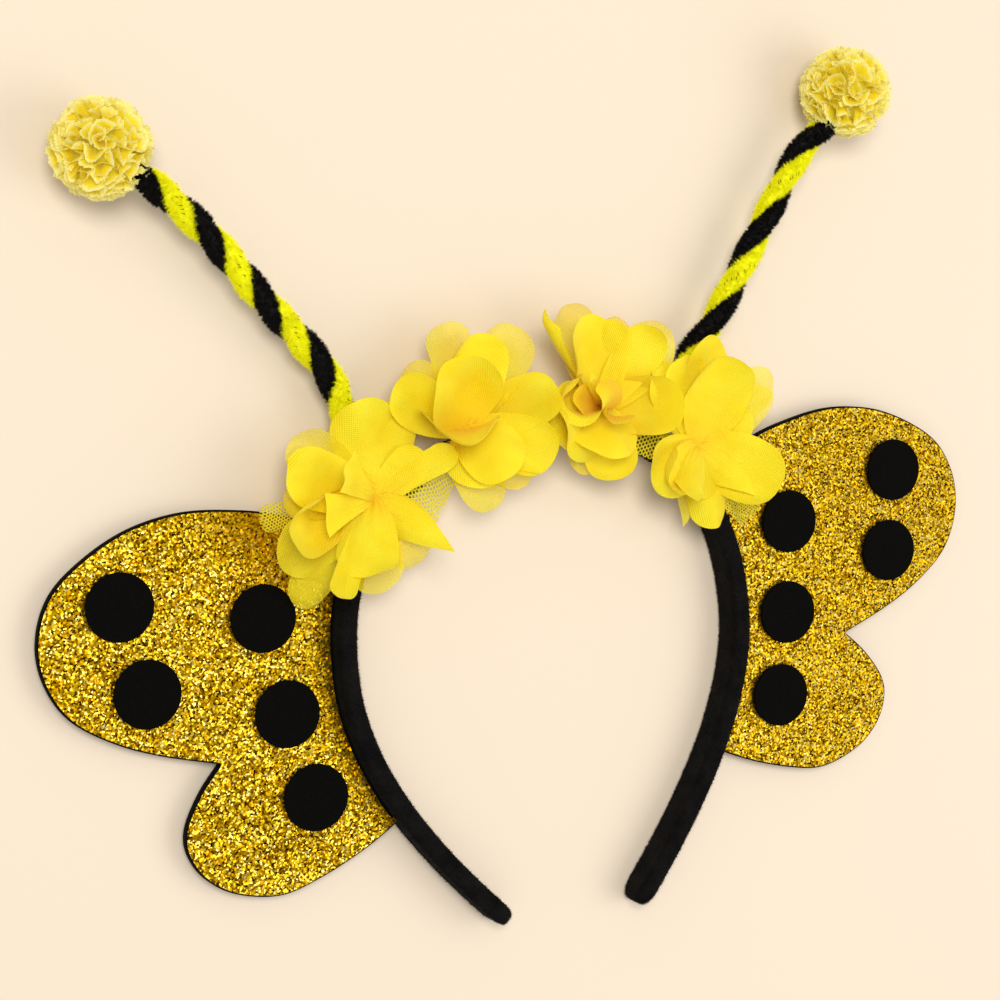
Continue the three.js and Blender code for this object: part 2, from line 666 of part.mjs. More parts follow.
// Origin below the middle of the whole object
const box = new THREE.Box3().setFromObject(headband);
headband.position.set(-(box.min.x + box.max.x) / 2, -(box.min.y + box.max.y) / 2, 0);
headband.updateMatrixWorld(true);

export default headband;
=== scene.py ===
# Bee antenna headband: the finish of each piece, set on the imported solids.
# Sizes and tables are in millimetres in the drawing's own place, and meshes are in metres.
import math

import bpy
import numpy as np
from mathutils import Matrix, Vector


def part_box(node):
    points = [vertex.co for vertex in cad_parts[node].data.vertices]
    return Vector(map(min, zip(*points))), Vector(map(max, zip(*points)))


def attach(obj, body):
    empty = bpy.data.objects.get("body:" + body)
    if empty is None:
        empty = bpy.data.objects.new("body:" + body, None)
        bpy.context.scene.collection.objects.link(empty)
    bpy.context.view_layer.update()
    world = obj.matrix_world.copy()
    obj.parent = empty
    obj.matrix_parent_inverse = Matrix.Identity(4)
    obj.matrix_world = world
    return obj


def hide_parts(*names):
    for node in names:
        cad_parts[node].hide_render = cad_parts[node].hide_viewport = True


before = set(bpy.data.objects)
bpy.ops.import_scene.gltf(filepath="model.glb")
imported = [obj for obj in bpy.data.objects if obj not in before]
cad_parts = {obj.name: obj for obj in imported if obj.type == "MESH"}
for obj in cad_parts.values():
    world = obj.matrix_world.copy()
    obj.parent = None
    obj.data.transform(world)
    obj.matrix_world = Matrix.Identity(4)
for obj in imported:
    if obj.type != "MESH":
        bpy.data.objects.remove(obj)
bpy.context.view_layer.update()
print("frame loaded:", len(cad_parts), "nodes")

band = {
    "halfWidth": 67.2, "rise": 65, "squareness": 2.3, "shoulder": 63,
    "flare": 48, "ease": 48, "leftLeg": 95, "rightLeg": 101.5,
    "thickness": 6, "depth": 11.5, "corner": 2,
    "pileCount": 60000, "pileLength": 0.8, "pileWidth": 0.14,
}
gap = 0.3
crownTop = band["shoulder"] + band["rise"]
# The drawing's zero lies this far below the frame's
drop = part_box("headband")[1][1] * 1000 - (crownTop + band["thickness"] / 2)


# Mesh helpers

def unit(v):
    return v / np.maximum(np.linalg.norm(v, axis=-1, keepdims=True), 1e-9)


def gridFaces(rows, columns, start=0, wrap=False):
    i, j = np.meshgrid(np.arange(rows - 1), np.arange(columns if wrap else columns - 1), indexing="ij")
    k = (j + 1) % columns
    quads = np.stack([i * columns + j, i * columns + k, (i + 1) * columns + k, (i + 1) * columns + j], -1)
    return (quads.reshape(-1, 4) + start).tolist()


def joined(parts):
    points, faces, flats, start = [], [], [], 0
    for part in parts:
        points.append(part["points"])
        flats.append(part.get("flat", np.zeros((len(part["points"]), 2))))
        faces += [[v + start for v in face] for face in part["faces"]]
        start += len(part["points"])
    whole = {"points": np.concatenate(points), "faces": faces, "flat": np.concatenate(flats)}
    for mark in ("reach", "deep"):
        if all(mark in part for part in parts):
            whole[mark] = np.concatenate([part[mark] for part in parts])
    return whole


def addPiece(name, part, material, nodes=(), smooth=True):
    points = np.array(part["points"], float).reshape(-1, 3)
    points[:, 1] += drop
    mesh = bpy.data.meshes.new(name)
    mesh.from_pydata((points / 1000).tolist(), [], part["faces"])
    mesh.polygons.foreach_set("use_smooth", [smooth] * len(mesh.polygons))
    if "flat" in part:
        corners = np.zeros(len(mesh.loops), dtype=np.int32)
        mesh.loops.foreach_get("vertex_index", corners)
        layer = mesh.uv_layers.new(name="cloth")
        layer.data.foreach_set("uv", (part["flat"][corners] / 1000).ravel())
    for mark in ("reach", "deep"):
        if mark in part:
            values = mesh.attributes.new(mark, "FLOAT", "POINT")
            values.data.foreach_set("value", np.asarray(part[mark], float).ravel())
    mesh.materials.append(material)
    mesh.update()
    piece = bpy.data.objects.new(name, mesh)
    bpy.context.scene.collection.objects.link(piece)
    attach(piece, "root")
    if nodes:
        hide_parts(*nodes)
    return piece


# Fibres, each one narrow triangle from its root to its tip
def pile(roots, aims, lengths, width, chance):
    aims = unit(aims)
    side = unit(np.cross(aims, chance.normal(size=aims.shape))) * width / 2
    tips = roots + aims * lengths[:, None]
    points = np.stack([roots - side, roots + side, tips], 1).reshape(-1, 3)
    return {"points": points, "faces": np.arange(len(points)).reshape(-1, 3).tolist()}


# Material helpers

def linear(code):
    parts = [int(code[i:i + 2], 16) / 255 for i in (1, 3, 5)]
    return tuple(p / 12.92 if p <= 0.04045 else ((p + 0.055) / 1.055) ** 2.4 for p in parts) + (1.0,)


def addNode(tree, kind, settings=None, links=None):
    node = tree.nodes.new(kind)
    for name, value in (settings or {}).items():
        if isinstance(name, str) and hasattr(node, name):
            setattr(node, name, value)
        else:
            node.inputs[name].default_value = value
    for name, source in (links or {}).items():
        tree.links.new(source, node.inputs[name])
    return node


def newMaterial(name):
    material = bpy.data.materials.new(name)
    material.use_nodes = True
    tree = material.node_tree
    tree.nodes.clear()
    output = addNode(tree, "ShaderNodeOutputMaterial")
    return material, tree, output


def setStops(ramp, stops, interpolation="LINEAR"):
    ramp.color_ramp.interpolation = interpolation
    while len(ramp.color_ramp.elements) < len(stops):
        ramp.color_ramp.elements.new(0.5)
    for element, (place, code) in zip(ramp.color_ramp.elements, stops):
        element.position = place
        element.color = linear(code)


# Velvet: cut rayon pile over a hard core, which drinks nearly all light
def makeVelvet():
    material, tree, output = newMaterial("velvet_black")
    spots = addNode(tree, "ShaderNodeTexCoord")
    cloud = addNode(tree, "ShaderNodeTexNoise", {"Scale": 160.0, "Detail": 3.0},
                    {"Vector": spots.outputs["Object"]})
    shade = addNode(tree, "ShaderNodeValToRGB", None, {"Fac": cloud.outputs["Fac"]})
    setStops(shade, [(0.35, "#080707"), (0.7, "#131110")])
    grain = addNode(tree, "ShaderNodeTexNoise", {"Scale": 2600.0, "Detail": 2.0},
                    {"Vector": spots.outputs["Object"]})
    bump = addNode(tree, "ShaderNodeBump", {"Strength": 0.6, "Distance": 0.0002},
                   {"Height": grain.outputs["Fac"]})
    cloth = addNode(tree, "ShaderNodeBsdfPrincipled", {
        "Roughness": 0.95, "Specular IOR Level": 0.1, "Sheen Weight": 0.05, "Sheen Roughness": 0.4,
        "Sheen Tint": linear("#5a504a")},
        {"Base Color": shade.outputs["Color"], "Normal": bump.outputs["Normal"]})
    tree.links.new(cloth.outputs["BSDF"], output.inputs["Surface"])
    return material


# EVA foam: cut sheet with a fine open cell along its edge
def makeFoam():
    material, tree, output = newMaterial("foam_black_eva")
    spots = addNode(tree, "ShaderNodeTexCoord")
    cells = addNode(tree, "ShaderNodeTexVoronoi", {"Scale": 2200.0}, {"Vector": spots.outputs["Object"]})
    shade = addNode(tree, "ShaderNodeValToRGB", None, {"Fac": cells.outputs["Distance"]})
    setStops(shade, [(0.0, "#030303"), (0.8, "#080807")])
    bump = addNode(tree, "ShaderNodeBump", {"Strength": 0.5, "Distance": 0.0001},
                   {"Height": cells.outputs["Distance"]})
    foam = addNode(tree, "ShaderNodeBsdfPrincipled", {"Roughness": 0.95, "Specular IOR Level": 0.08},
                   {"Base Color": shade.outputs["Color"], "Normal": bump.outputs["Normal"]})
    tree.links.new(foam.outputs["BSDF"], output.inputs["Surface"])
    return material


# Glitter sheet: metallised polyester flakes of 0.56 mm glued at every tilt, so that some
# glare and most are gold. The darkest flake colours are a painted reflection, for flakes that look into the
# dark
def makeGlitter():
    material, tree, output = newMaterial("glitter_gold_flakes")
    flakeSize = 0.56
    spots = addNode(tree, "ShaderNodeTexCoord")
    flakes = addNode(tree, "ShaderNodeTexVoronoi", {"Scale": 1000 / flakeSize, "Randomness": 1.0},
                     {"Vector": spots.outputs["Object"]})
    pick = addNode(tree, "ShaderNodeSeparateColor", None, {"Color": flakes.outputs["Color"]})
    shade = addNode(tree, "ShaderNodeValToRGB", None, {"Fac": pick.outputs["Red"]})
    # Each flake takes one colour at random; the dark end is a painted reflection of the dark
    setStops(shade, [(0.0, "#341c00"), (0.1, "#6c4800"), (0.25, "#976c00"), (0.48, "#bf950a"),
                     (0.68, "#deb91e"), (0.82, "#f4d244"), (0.92, "#ffee84")], "CONSTANT")
    lift = 0.38
    tilt = addNode(tree, "ShaderNodeVectorMath",
                   {"operation": "MULTIPLY_ADD", 1: (2 * lift, 2 * lift, 2 * lift), 2: (-lift, -lift, -lift)},
                   {0: flakes.outputs["Color"]})
    facing = addNode(tree, "ShaderNodeNewGeometry")
    lean = addNode(tree, "ShaderNodeVectorMath", {"operation": "ADD"},
                   {0: facing.outputs["Normal"], 1: tilt.outputs["Vector"]})
    normal = addNode(tree, "ShaderNodeVectorMath", {"operation": "NORMALIZE"}, {0: lean.outputs["Vector"]})
    sheet = addNode(tree, "ShaderNodeBsdfPrincipled", {"Roughness": 0.3, "Metallic": 1.0},
                    {"Base Color": shade.outputs["Color"], "Normal": normal.outputs["Vector"]})
    tree.links.new(sheet.outputs["BSDF"], output.inputs["Surface"])
    return material


# Wool felt: pressed fibres, matt, with a faint mottle
def makeFelt():
    material, tree, output = newMaterial("felt_black")
    spots = addNode(tree, "ShaderNodeTexCoord")
    fibres = addNode(tree, "ShaderNodeTexNoise", {"Scale": 1500.0, "Detail": 4.0, "Distortion": 1.5},
                     {"Vector": spots.outputs["Object"]})
    shade = addNode(tree, "ShaderNodeValToRGB", None, {"Fac": fibres.outputs["Fac"]})
    setStops(shade, [(0.3, "#040403"), (0.75, "#0b0a08")])
    bump = addNode(tree, "ShaderNodeBump", {"Strength": 0.5, "Distance": 0.0001},
                   {"Height": fibres.outputs["Fac"]})
    felt = addNode(tree, "ShaderNodeBsdfPrincipled", {"Roughness": 0.95, "Specular IOR Level": 0.05},
                   {"Base Color": shade.outputs["Color"], "Normal": bump.outputs["Normal"]})
    tree.links.new(felt.outputs["BSDF"], output.inputs["Surface"])
    return material


# Chenille: fibres spun between wires, lit through near their tips; the root colour is painted shade down at
# the wire, taken only by the dark marks where the pile parts
def makeChenille(name, root, dark, light, glow):
    material, tree, output = newMaterial(name)
    spots = addNode(tree, "ShaderNodeTexCoord")
    cloud = addNode(tree, "ShaderNodeTexNoise", {"Scale": 900.0, "Detail": 3.0},
                    {"Vector": spots.outputs["Object"]})
    shade = addNode(tree, "ShaderNodeValToRGB", None, {"Fac": cloud.outputs["Fac"]})
    setStops(shade, [(0.3, dark), (0.6, light)])
    reach = addNode(tree, "ShaderNodeAttribute", {"attribute_name": "reach"})
    deep = addNode(tree, "ShaderNodeMapRange", {"From Min": 0.1, "From Max": 0.55},
                   {"Value": reach.outputs["Fac"]})
    # Where reach is low the root colour comes in: painted shade
    colour = addNode(tree, "ShaderNodeMix", {"data_type": "RGBA", 6: linear(root)},
                     {0: deep.outputs["Result"], 7: shade.outputs["Color"]})
    fibre = addNode(tree, "ShaderNodeBsdfPrincipled", {"Roughness": 0.8, "Specular IOR Level": 0.15},
                    {"Base Color": colour.outputs[2]})
    through = addNode(tree, "ShaderNodeBsdfTranslucent", None, {"Color": colour.outputs[2]})
    mix = addNode(tree, "ShaderNodeMixShader", {"Fac": glow},
                  {1: fibre.outputs["BSDF"], 2: through.outputs["BSDF"]})
    tree.links.new(mix.outputs["Shader"], output.inputs["Surface"])
    return material


# Sum of waves that run across the flat cloth, each given as a direction of waves to a metre
def crossedWaves(tree, directions):
    cloth = addNode(tree, "ShaderNodeUVMap", {"uv_map": "cloth"})
    total = None
    for across in directions:
        run = addNode(tree, "ShaderNodeVectorMath", {"operation": "DOT_PRODUCT", 1: across},
                      {0: cloth.outputs["UV"]})
        crest = addNode(tree, "ShaderNodeMath", {"operation": "COSINE"}, {0: run.outputs["Value"]})
        if total is None:
            total = crest
        else:
            total = addNode(tree, "ShaderNodeMath", {"operation": "ADD"},
                            {0: total.outputs[0], 1: crest.outputs[0]})
    return total.outputs[0]


# Pattern of a hexagonal net: three waves laid at 120 degrees, high in the holes
def netHoles(tree, cell):
    wave = 4 * math.pi / (math.sqrt(3) * cell / 1000)
    turns = [math.radians(turn) for turn in (0, 120, 240)]
    return crossedWaves(tree, [(wave * math.cos(turn), wave * math.sin(turn), 0) for turn in turns])


# Nylon tulle: knitted hexagonal net, nearly clear in its holes and shiny along its threads
def makeNet(name, cell, hole, thread, deep, tip, holeCover):
    material, tree, output = newMaterial(name)
    holes = netHoles(tree, cell)
    cover = addNode(tree, "ShaderNodeMapRange",
                    {"From Min": hole, "From Max": hole + 0.7, "To Min": 1.0, "To Max": holeCover},
                    {"Value": holes})
    reach = addNode(tree, "ShaderNodeAttribute", {"attribute_name": "reach"})
    shade = addNode(tree, "ShaderNodeValToRGB", None, {"Fac": reach.outputs["Fac"]})
    # Towards the outer rims of the folds the colour turns pale: a painted highlight on the rims
    setStops(shade, [(0.35, deep), (0.8, thread), (0.9, thread), (0.97, tip)])
    net = addNode(tree, "ShaderNodeBsdfPrincipled", {
        "Roughness": 0.6, "Specular IOR Level": 0.2, "Sheen Weight": 0.3,
        "Sheen Tint": linear("#fff7b0")}, {"Base Color": shade.outputs["Color"]})
    through = addNode(tree, "ShaderNodeBsdfTranslucent", None, {"Color": shade.outputs["Color"]})
    clear = addNode(tree, "ShaderNodeBsdfTransparent")
    body = addNode(tree, "ShaderNodeMixShader", {"Fac": 0.45},
                   {1: net.outputs["BSDF"], 2: through.outputs["BSDF"]})
    mix = addNode(tree, "ShaderNodeMixShader", None,
                  {"Fac": cover.outputs["Result"], 1: clear.outputs["BSDF"], 2: body.outputs["Shader"]})
    tree.links.new(mix.outputs["Shader"], output.inputs["Surface"])
    return material


# Polyester chiffon: plain weave of fine twisted yarn, so a single layer is sheer and light comes
# through it. Its real pitch of 0.3 mm is drawn at 0.6 mm so that it shows.
def makeChiffon():
    material, tree, output = newMaterial("chiffon_yellow")
    pitch = 0.6
    wave = 2 * math.pi / (pitch / 1000)
    weave = crossedWaves(tree, [(wave, 0, 0), (0, wave, 0)])
    layers = addNode(tree, "ShaderNodeAttribute", {"attribute_name": "reach"})
    yarn = addNode(tree, "ShaderNodeMath", {"operation": "MULTIPLY", 1: -0.08}, {0: weave})
    cover = addNode(tree, "ShaderNodeMath", {"operation": "ADD", "use_clamp": True},
                    {0: layers.outputs["Fac"], 1: yarn.outputs[0]})
    spots = addNode(tree, "ShaderNodeTexCoord")
    cloud = addNode(tree, "ShaderNodeTexNoise", {"Scale": 90.0, "Detail": 2.0},
                    {"Vector": spots.outputs["Object"]})
    grain = addNode(tree, "ShaderNodeMath", {"operation": "MULTIPLY_ADD", 1: 0.16},
                    {0: weave, 2: cloud.outputs["Fac"]})
    shade = addNode(tree, "ShaderNodeValToRGB", None, {"Fac": grain.outputs[0]})
    setStops(shade, [(0.1, "#f6d800"), (0.45, "#ffe90e"), (0.85, "#fff534")])
    # Painted shade: cloth that lies deep in the gathers is lit only by way of other cloth, so its colour is
    # mixed towards deep orange there
    depth = addNode(tree, "ShaderNodeAttribute", {"attribute_name": "deep"})
    paintedShade = addNode(tree, "ShaderNodeMix", {"data_type": "RGBA", 7: linear("#ffc200")},
                   {0: depth.outputs["Fac"], 6: shade.outputs["Color"]})
    bump = addNode(tree, "ShaderNodeBump", {"Strength": 0.55, "Distance": 0.0001}, {"Height": weave})
    fabric = addNode(tree, "ShaderNodeBsdfPrincipled", {
        "Roughness": 0.5, "Specular IOR Level": 0.3, "Sheen Weight": 0.25,
        "Sheen Tint": linear("#fff2a0")}, {"Base Color": paintedShade.outputs[2], "Normal": bump.outputs["Normal"]})
    through = addNode(tree, "ShaderNodeBsdfTranslucent", None, {"Color": paintedShade.outputs[2]})
    clear = addNode(tree, "ShaderNodeBsdfTransparent")
    body = addNode(tree, "ShaderNodeMixShader", {"Fac": 0.24},
                   {1: fabric.outputs["BSDF"], 2: through.outputs["BSDF"]})
    mix = addNode(tree, "ShaderNodeMixShader", None,
                  {"Fac": cover.outputs[0], 1: clear.outputs["BSDF"], 2: body.outputs["Shader"]})
    tree.links.new(mix.outputs["Shader"], output.inputs["Surface"])
    return material


velvet = makeVelvet()
foam = makeFoam()
glitter = makeGlitter()
felt = makeFelt()
# Each chenille's second colour is its root colour, painted shade where the pile parts over the wire
chenilleBlack = makeChenille("chenille_black", "#050505", "#080707", "#161412", 0.1)
chenilleYellow = makeChenille("chenille_yellow", "#5c5800", "#fffa08", "#ffff20", 0.22)
# The pompom's tip colour is a painted highlight on its fold rims
pompomNet = makeNet("tulle_lemon", 0.85, -0.9, "#fff03c", "#fff860", "#fffbae", 0.9)
stripNet = makeNet("tulle_net_yellow", 1.4, -0.3, "#fff03a", "#ffec2c", "#fff45a", 0.08)
chiffon = makeChiffon()
print("materials made")


# Arch of the band

def crownPoint(angle):
    power = 2 / band["squareness"]
    x = np.sign(np.cos(angle)) * band["halfWidth"] * np.abs(np.cos(angle)) ** power
    y = band["shoulder"] + band["rise"] * np.abs(np.sin(angle)) ** power
    return np.stack([x, y], -1)


def legPoints(length, count):
    step = length / count
    heading = math.radians(band["flare"]) * (1 - np.exp(-(np.arange(count) + 0.5) * step / band["ease"]))
    x = band["halfWidth"] - np.cumsum(step * np.sin(heading))
    y = band["shoulder"] - np.cumsum(step * np.cos(heading))
    return np.stack([x, y], -1)


def archLine():
    left = legPoints(band["leftLeg"], 300)[::-1] * [-1, 1]
    crown = crownPoint(np.pi * (1 - np.linspace(0, 1, 401)))
    return np.concatenate([left, crown, legPoints(band["rightLeg"], 300)])


def evenly(line, count):
    run = np.concatenate([[0], np.cumsum(np.linalg.norm(np.diff(line, axis=0), axis=1))])
    at = np.linspace(0, run[-1], count)
    return np.stack([np.interp(at, run, line[:, k]) for k in range(line.shape[1])], -1)


def withNormals(line):
    along = unit(np.gradient(line, axis=0))
    return line, np.stack([-along[:, 1], along[:, 0]], -1), along


def roundedSection(thickness, depth, corner, cornerSteps=6, flatSteps=4):
    section = []
    signs = [(1, 1), (-1, 1), (-1, -1), (1, -1)]
    for quarter, (sx, sy) in enumerate(signs):
        for i in range(cornerSteps + 1):
            angle = (quarter + i / cornerSteps) * math.pi / 2
            section.append((sx * (thickness / 2 - corner) + corner * math.cos(angle),
                            band["depth"] / 2 + sy * (depth / 2 - corner) + corner * math.sin(angle)))
        nx, ny = signs[(quarter + 1) % 4]
        angle = (quarter + 1) * math.pi / 2
        ahead = (nx * (thickness / 2 - corner) + corner * math.cos(angle),
                 band["depth"] / 2 + ny * (depth / 2 - corner) + corner * math.sin(angle))
        behind = section[-1]
        for i in range(1, flatSteps):
            share = i / flatSteps
            section.append(tuple(a + (b - a) * share for a, b in zip(behind, ahead)))
    return np.array(section)


arch, archOut, archAlong = withNormals(evenly(archLine(), 420))


def makeBand(chance):
    section = roundedSection(band["thickness"], band["depth"], band["corner"])
    middle = np.array([0, band["depth"] / 2])
    rows = [(0.4, 0.0), (0.57, 0.3), (0.72, 0.9), (0.84, 1.8), (0.92, 2.8), (0.97, 3.9), (1, 5.2)]
    whole = 7
    rings, normals = [], []

    def ring(point, out, along, size, shift, lean):
        s = middle + (section - middle) * size
        flat = point + out * s[:, :1] + along * shift
        rings.append(np.column_stack([flat, s[:, 1]]))
        face = unit(section - middle)
        normals.append(unit(np.column_stack([out * face[:, :1] + along * lean, face[:, 1:]])))

    for size, shift in rows:
        ring(arch[0], archOut[0], archAlong[0], size, shift, -1.5 * (1 - size))
    for i in range(whole, len(arch) - whole):
        ring(arch[i], archOut[i], archAlong[i], 1, 0, 0)
    for size, shift in reversed(rows):
        ring(arch[-1], archOut[-1], archAlong[-1], size, -shift, 1.5 * (1 - size))
    count = len(section)
    faces = gridFaces(len(rings), count, wrap=True)
    faces.append(list(range(count)))
    faces.append([(len(rings) - 1) * count + j for j in reversed(range(count))])
    points = np.concatenate(rings)
    outward = np.concatenate(normals)
    # Pile stands on the skin, each fibre leaning its own way
    n = band["pileCount"]
    i = chance.integers(0, len(rings) - 1, n)
    j = chance.integers(0, count, n)
    a, b = chance.random((2, n))
    at = i * count + j
    right = i * count + (j + 1) % count
    above = at + count
    roots = points[at] + (points[right] - points[at]) * a[:, None] + (points[above] - points[at]) * b[:, None]
    aims = outward[at] + 0.55 * chance.normal(size=(n, 3))
    lengths = band["pileLength"] * chance.uniform(0.5, 1.1, n)
    aims = unit(aims)
    aims[:, 2] = np.maximum(aims[:, 2], (0.05 - roots[:, 2]) / lengths)
    hairs = pile(roots, aims, lengths, band["pileWidth"], chance)
    return joined([{"points": points, "faces": faces}, hairs])


addPiece("headband_velvet", makeBand(np.random.default_rng(3)), velvet, ["headband"])
print("band made")

# Wings
wing = {
    "halfSpan": 157, "top": 120, "notch": 46, "foot": 3.6,
    "back": 2.75, "foam": 1.9, "glitter": 0.8, "edge": 0.25, "film": 0.25, "rim": 0.45,
    "upper": [  # out as a share of the half span, up as a share of the lobe
        (0.395, 0.80), (0.51, 0.925), (0.61, 0.98), (0.71, 1), (0.81, 0.965), (0.90, 0.875),
        (0.965, 0.76), (0.997, 0.60), (0.993, 0.435), (0.955, 0.28), (0.88, 0.16),
        (0.795, 0.075), (0.69, 0)],
    "lower": [
        (0.69, 1), (0.735, 0.82), (0.77, 0.6), (0.772, 0.42), (0.745, 0.23), (0.69, 0.08),
        (0.605, 0), (0.52, 0.06), (0.42, 0.2), (0.33, 0.38)],
}


def throughPoints(points, count):
    padded = np.concatenate([points[:1], points, points[-1:]])
    line = []
    for i in range(1, len(padded) - 2):
        p0, p1, p2, p3 = padded[i - 1:i + 3]
        t = np.linspace(0, 1, 24, endpoint=False)[:, None]
        v0, v1 = (p2 - p0) / 2, (p3 - p1) / 2
        square = -3 * p1 + 3 * p2 - 2 * v0 - v1
        line.append((2 * p1 - 2 * p2 + v0 + v1) * t ** 3 + square * t ** 2 + v0 * t + p1)
    return evenly(np.concatenate(line + [points[-1:]]), count)


def wingOutline():
    def spots(rows, low, high):
        rows = np.array(rows)
        return np.stack([rows[:, 0] * wing["halfSpan"], low + rows[:, 1] * (high - low)], -1)

    upper = spots(wing["upper"], wing["notch"], wing["top"])
    lower = spots(wing["lower"], wing["foot"], wing["notch"])
    edge = arch + archOut * (band["thickness"] / 2 + gap)
    held = (arch[:, 0] > 0) & (edge[:, 1] > lower[-1, 1]) & (edge[:, 1] < upper[0, 1])
    return np.concatenate([throughPoints(upper, 160), throughPoints(lower, 130)[1:], edge[held][::-1]])


# A sheet with its edges eased, from an outline seen from the face
def slab(outline, low, high, ease, rim=0):
    ahead = np.roll(outline, -1, axis=0) - np.roll(outline, 1, axis=0)
    side = unit(np.stack([ahead[:, 1], -ahead[:, 0]], -1))
    area = np.sum(outline[:, 0] * np.roll(outline[:, 1], -1) - np.roll(outline[:, 0], -1) * outline[:, 1])
    if area < 0:
        side = -side
    rows = [(ease, low), (0.3 * ease, low + 0.3 * ease), (0, low + ease), (0, high - ease),
            (0.3 * ease, high - 0.3 * ease), (ease, high)]
    points = np.concatenate([np.column_stack([outline - side * (inset + rim), np.full(len(outline), z)])
                             for inset, z in rows])
    n = len(outline)
    faces = gridFaces(len(rows), n, wrap=True)
    faces.append(list(range(n))[::-1])
    faces.append([(len(rows) - 1) * n + k for k in range(n)])
    if area < 0:
        faces = [face[::-1] for face in faces]
    return {"points": points, "faces": faces}


glitterBack = wing["back"] + wing["foam"] + gap
wingFace = glitterBack + wing["glitter"]
for side, name in ((1, "right"), (-1, "left")):
    outline = wingOutline() * [side, 1]
    foamFace = wingFace - wing["film"]
    addPiece(f"{name}_wing_backing", slab(outline, wing["back"], foamFace, wing["edge"]), foam,
             [f"{name}_wing_foam"], smooth=False)
    sheet = slab(outline, foamFace - 0.1, wingFace, 0.1, wing["rim"])
    addPiece(f"{name}_wing_face", sheet, glitter, [f"{name}_wing_glitter"], smooth=False)
print("wings made")

# Felt dots
dot = {
    "radius": 10, "thickness": 1, "ease": 0.3, "sides": 96, "hairs": 420,
    "places": [(0.841, 0.804), (0.811, 0.587), (0.575, 0.716), (0.551, 0.473), (0.515, 0.254)],
}


def makeDot(side, place, chance):
    x, y = side * place[0] * wing["halfSpan"], place[1] * wing["top"]
    turn = np.linspace(0, 2 * np.pi, dot["sides"], endpoint=False)
    ring = np.stack([np.cos(turn), np.sin(turn)], -1)
    low = wingFace + gap
    disc = slab(ring * dot["radius"] + [x, y], low, low + dot["thickness"], dot["ease"])
    n = dot["hairs"]
    at = chance.uniform(0, 2 * np.pi, n)
    rim = np.stack([np.cos(at), np.sin(at), np.zeros(n)], -1)
    level = np.stack([0 * at, 0 * at, chance.uniform(0.2, 0.9, n)], -1)
    roots = rim * (dot["radius"] - 0.15) + [x, y, low] + level
    fuzz = pile(roots, rim + 0.8 * chance.normal(size=(n, 3)), chance.uniform(0.15, 0.5, n), 0.07, chance)
    return joined([disc, fuzz])


for side, name in ((1, "right"), (-1, "left")):
    for i, place in enumerate(dot["places"]):
        felted = makeDot(side, place, np.random.default_rng(20 + i))
        addPiece(f"{name}_felt_dot_{i + 1}", felted, felt, [f"{name}_dot_{i + 1}"], smooth=False)
print("dots made")

# Antennas
antenna = {
    "rise": 92, "spread": 122, "rootHeight": 6, "tipHeight": 14.85,
    "offset": 1.15, "core": 2.5, "pile": 3.4, "ragged": 0.25, "tufts": 8000, "fibres": 9,
    "fibreWidth": 0.2, "start": 5, "stop": 5,
    # The dark marks down each stem are painted shade
    "shadeNickPitch": 1.0, "shadeNickLength": 1.3, "shadeNickWidth": 0.34,
    "left": {"side": -1, "pitch": 25.1, "phase": 0.16, "line": [
        (0.375, -0.155), (0.445, 0.02), (0.48, 0.148), (0.515, 0.285), (0.652, 0.53), (0.782, 0.768),
        (0.9, 0.928), (1.007, 1.043)]},
    "right": {"side": 1, "pitch": 33.8, "phase": -0.08, "line": [
        (0.34, -0.13), (0.43, 0.06), (0.485, 0.18), (0.54, 0.253), (0.705, 0.552), (0.858, 0.824),
        (0.924, 0.893), (0.99, 0.997)]},
}


def antennaLine(spec):
    rows = spec["line"]
    last = len(rows) - 1
    knots = np.array([[spec["side"] * out * antenna["spread"], crownTop + up * antenna["rise"],
                       antenna["rootHeight"] + (antenna["tipHeight"] - antenna["rootHeight"]) * i / last]
                      for i, (out, up) in enumerate(rows)])
    knots = np.concatenate([[2 * knots[0] - knots[1]], knots, [2 * knots[-1] - knots[-2]]])
    line = []
    for i in range(1, len(knots) - 2):
        p0, p1, p2, p3 = knots[i - 1:i + 3]
        d0, d1, d2 = [np.linalg.norm(b - a) ** 0.5 for a, b in ((p0, p1), (p1, p2), (p2, p3))]
        t1 = ((p1 - p0) / d0 - (p2 - p0) / (d0 + d1) + (p2 - p1) / d1) * d1
        t2 = ((p2 - p1) / d1 - (p3 - p1) / (d1 + d2) + (p3 - p2) / d2) * d1
        t = np.linspace(0, 1, 40, endpoint=False)[:, None]
        cube = 2 * p1 - 2 * p2 + t1 + t2
        line.append(p1 + t1 * t + (-3 * p1 + 3 * p2 - 2 * t1 - t2) * t ** 2 + cube * t ** 3)
    return evenly(np.concatenate(line + [knots[-2:-1]]), 600)


def frameOf(line):
    along = unit(np.gradient(line, axis=0))
    across = unit(np.cross(along, [0, 0, 1]))
    return along, across, np.cross(across, along)


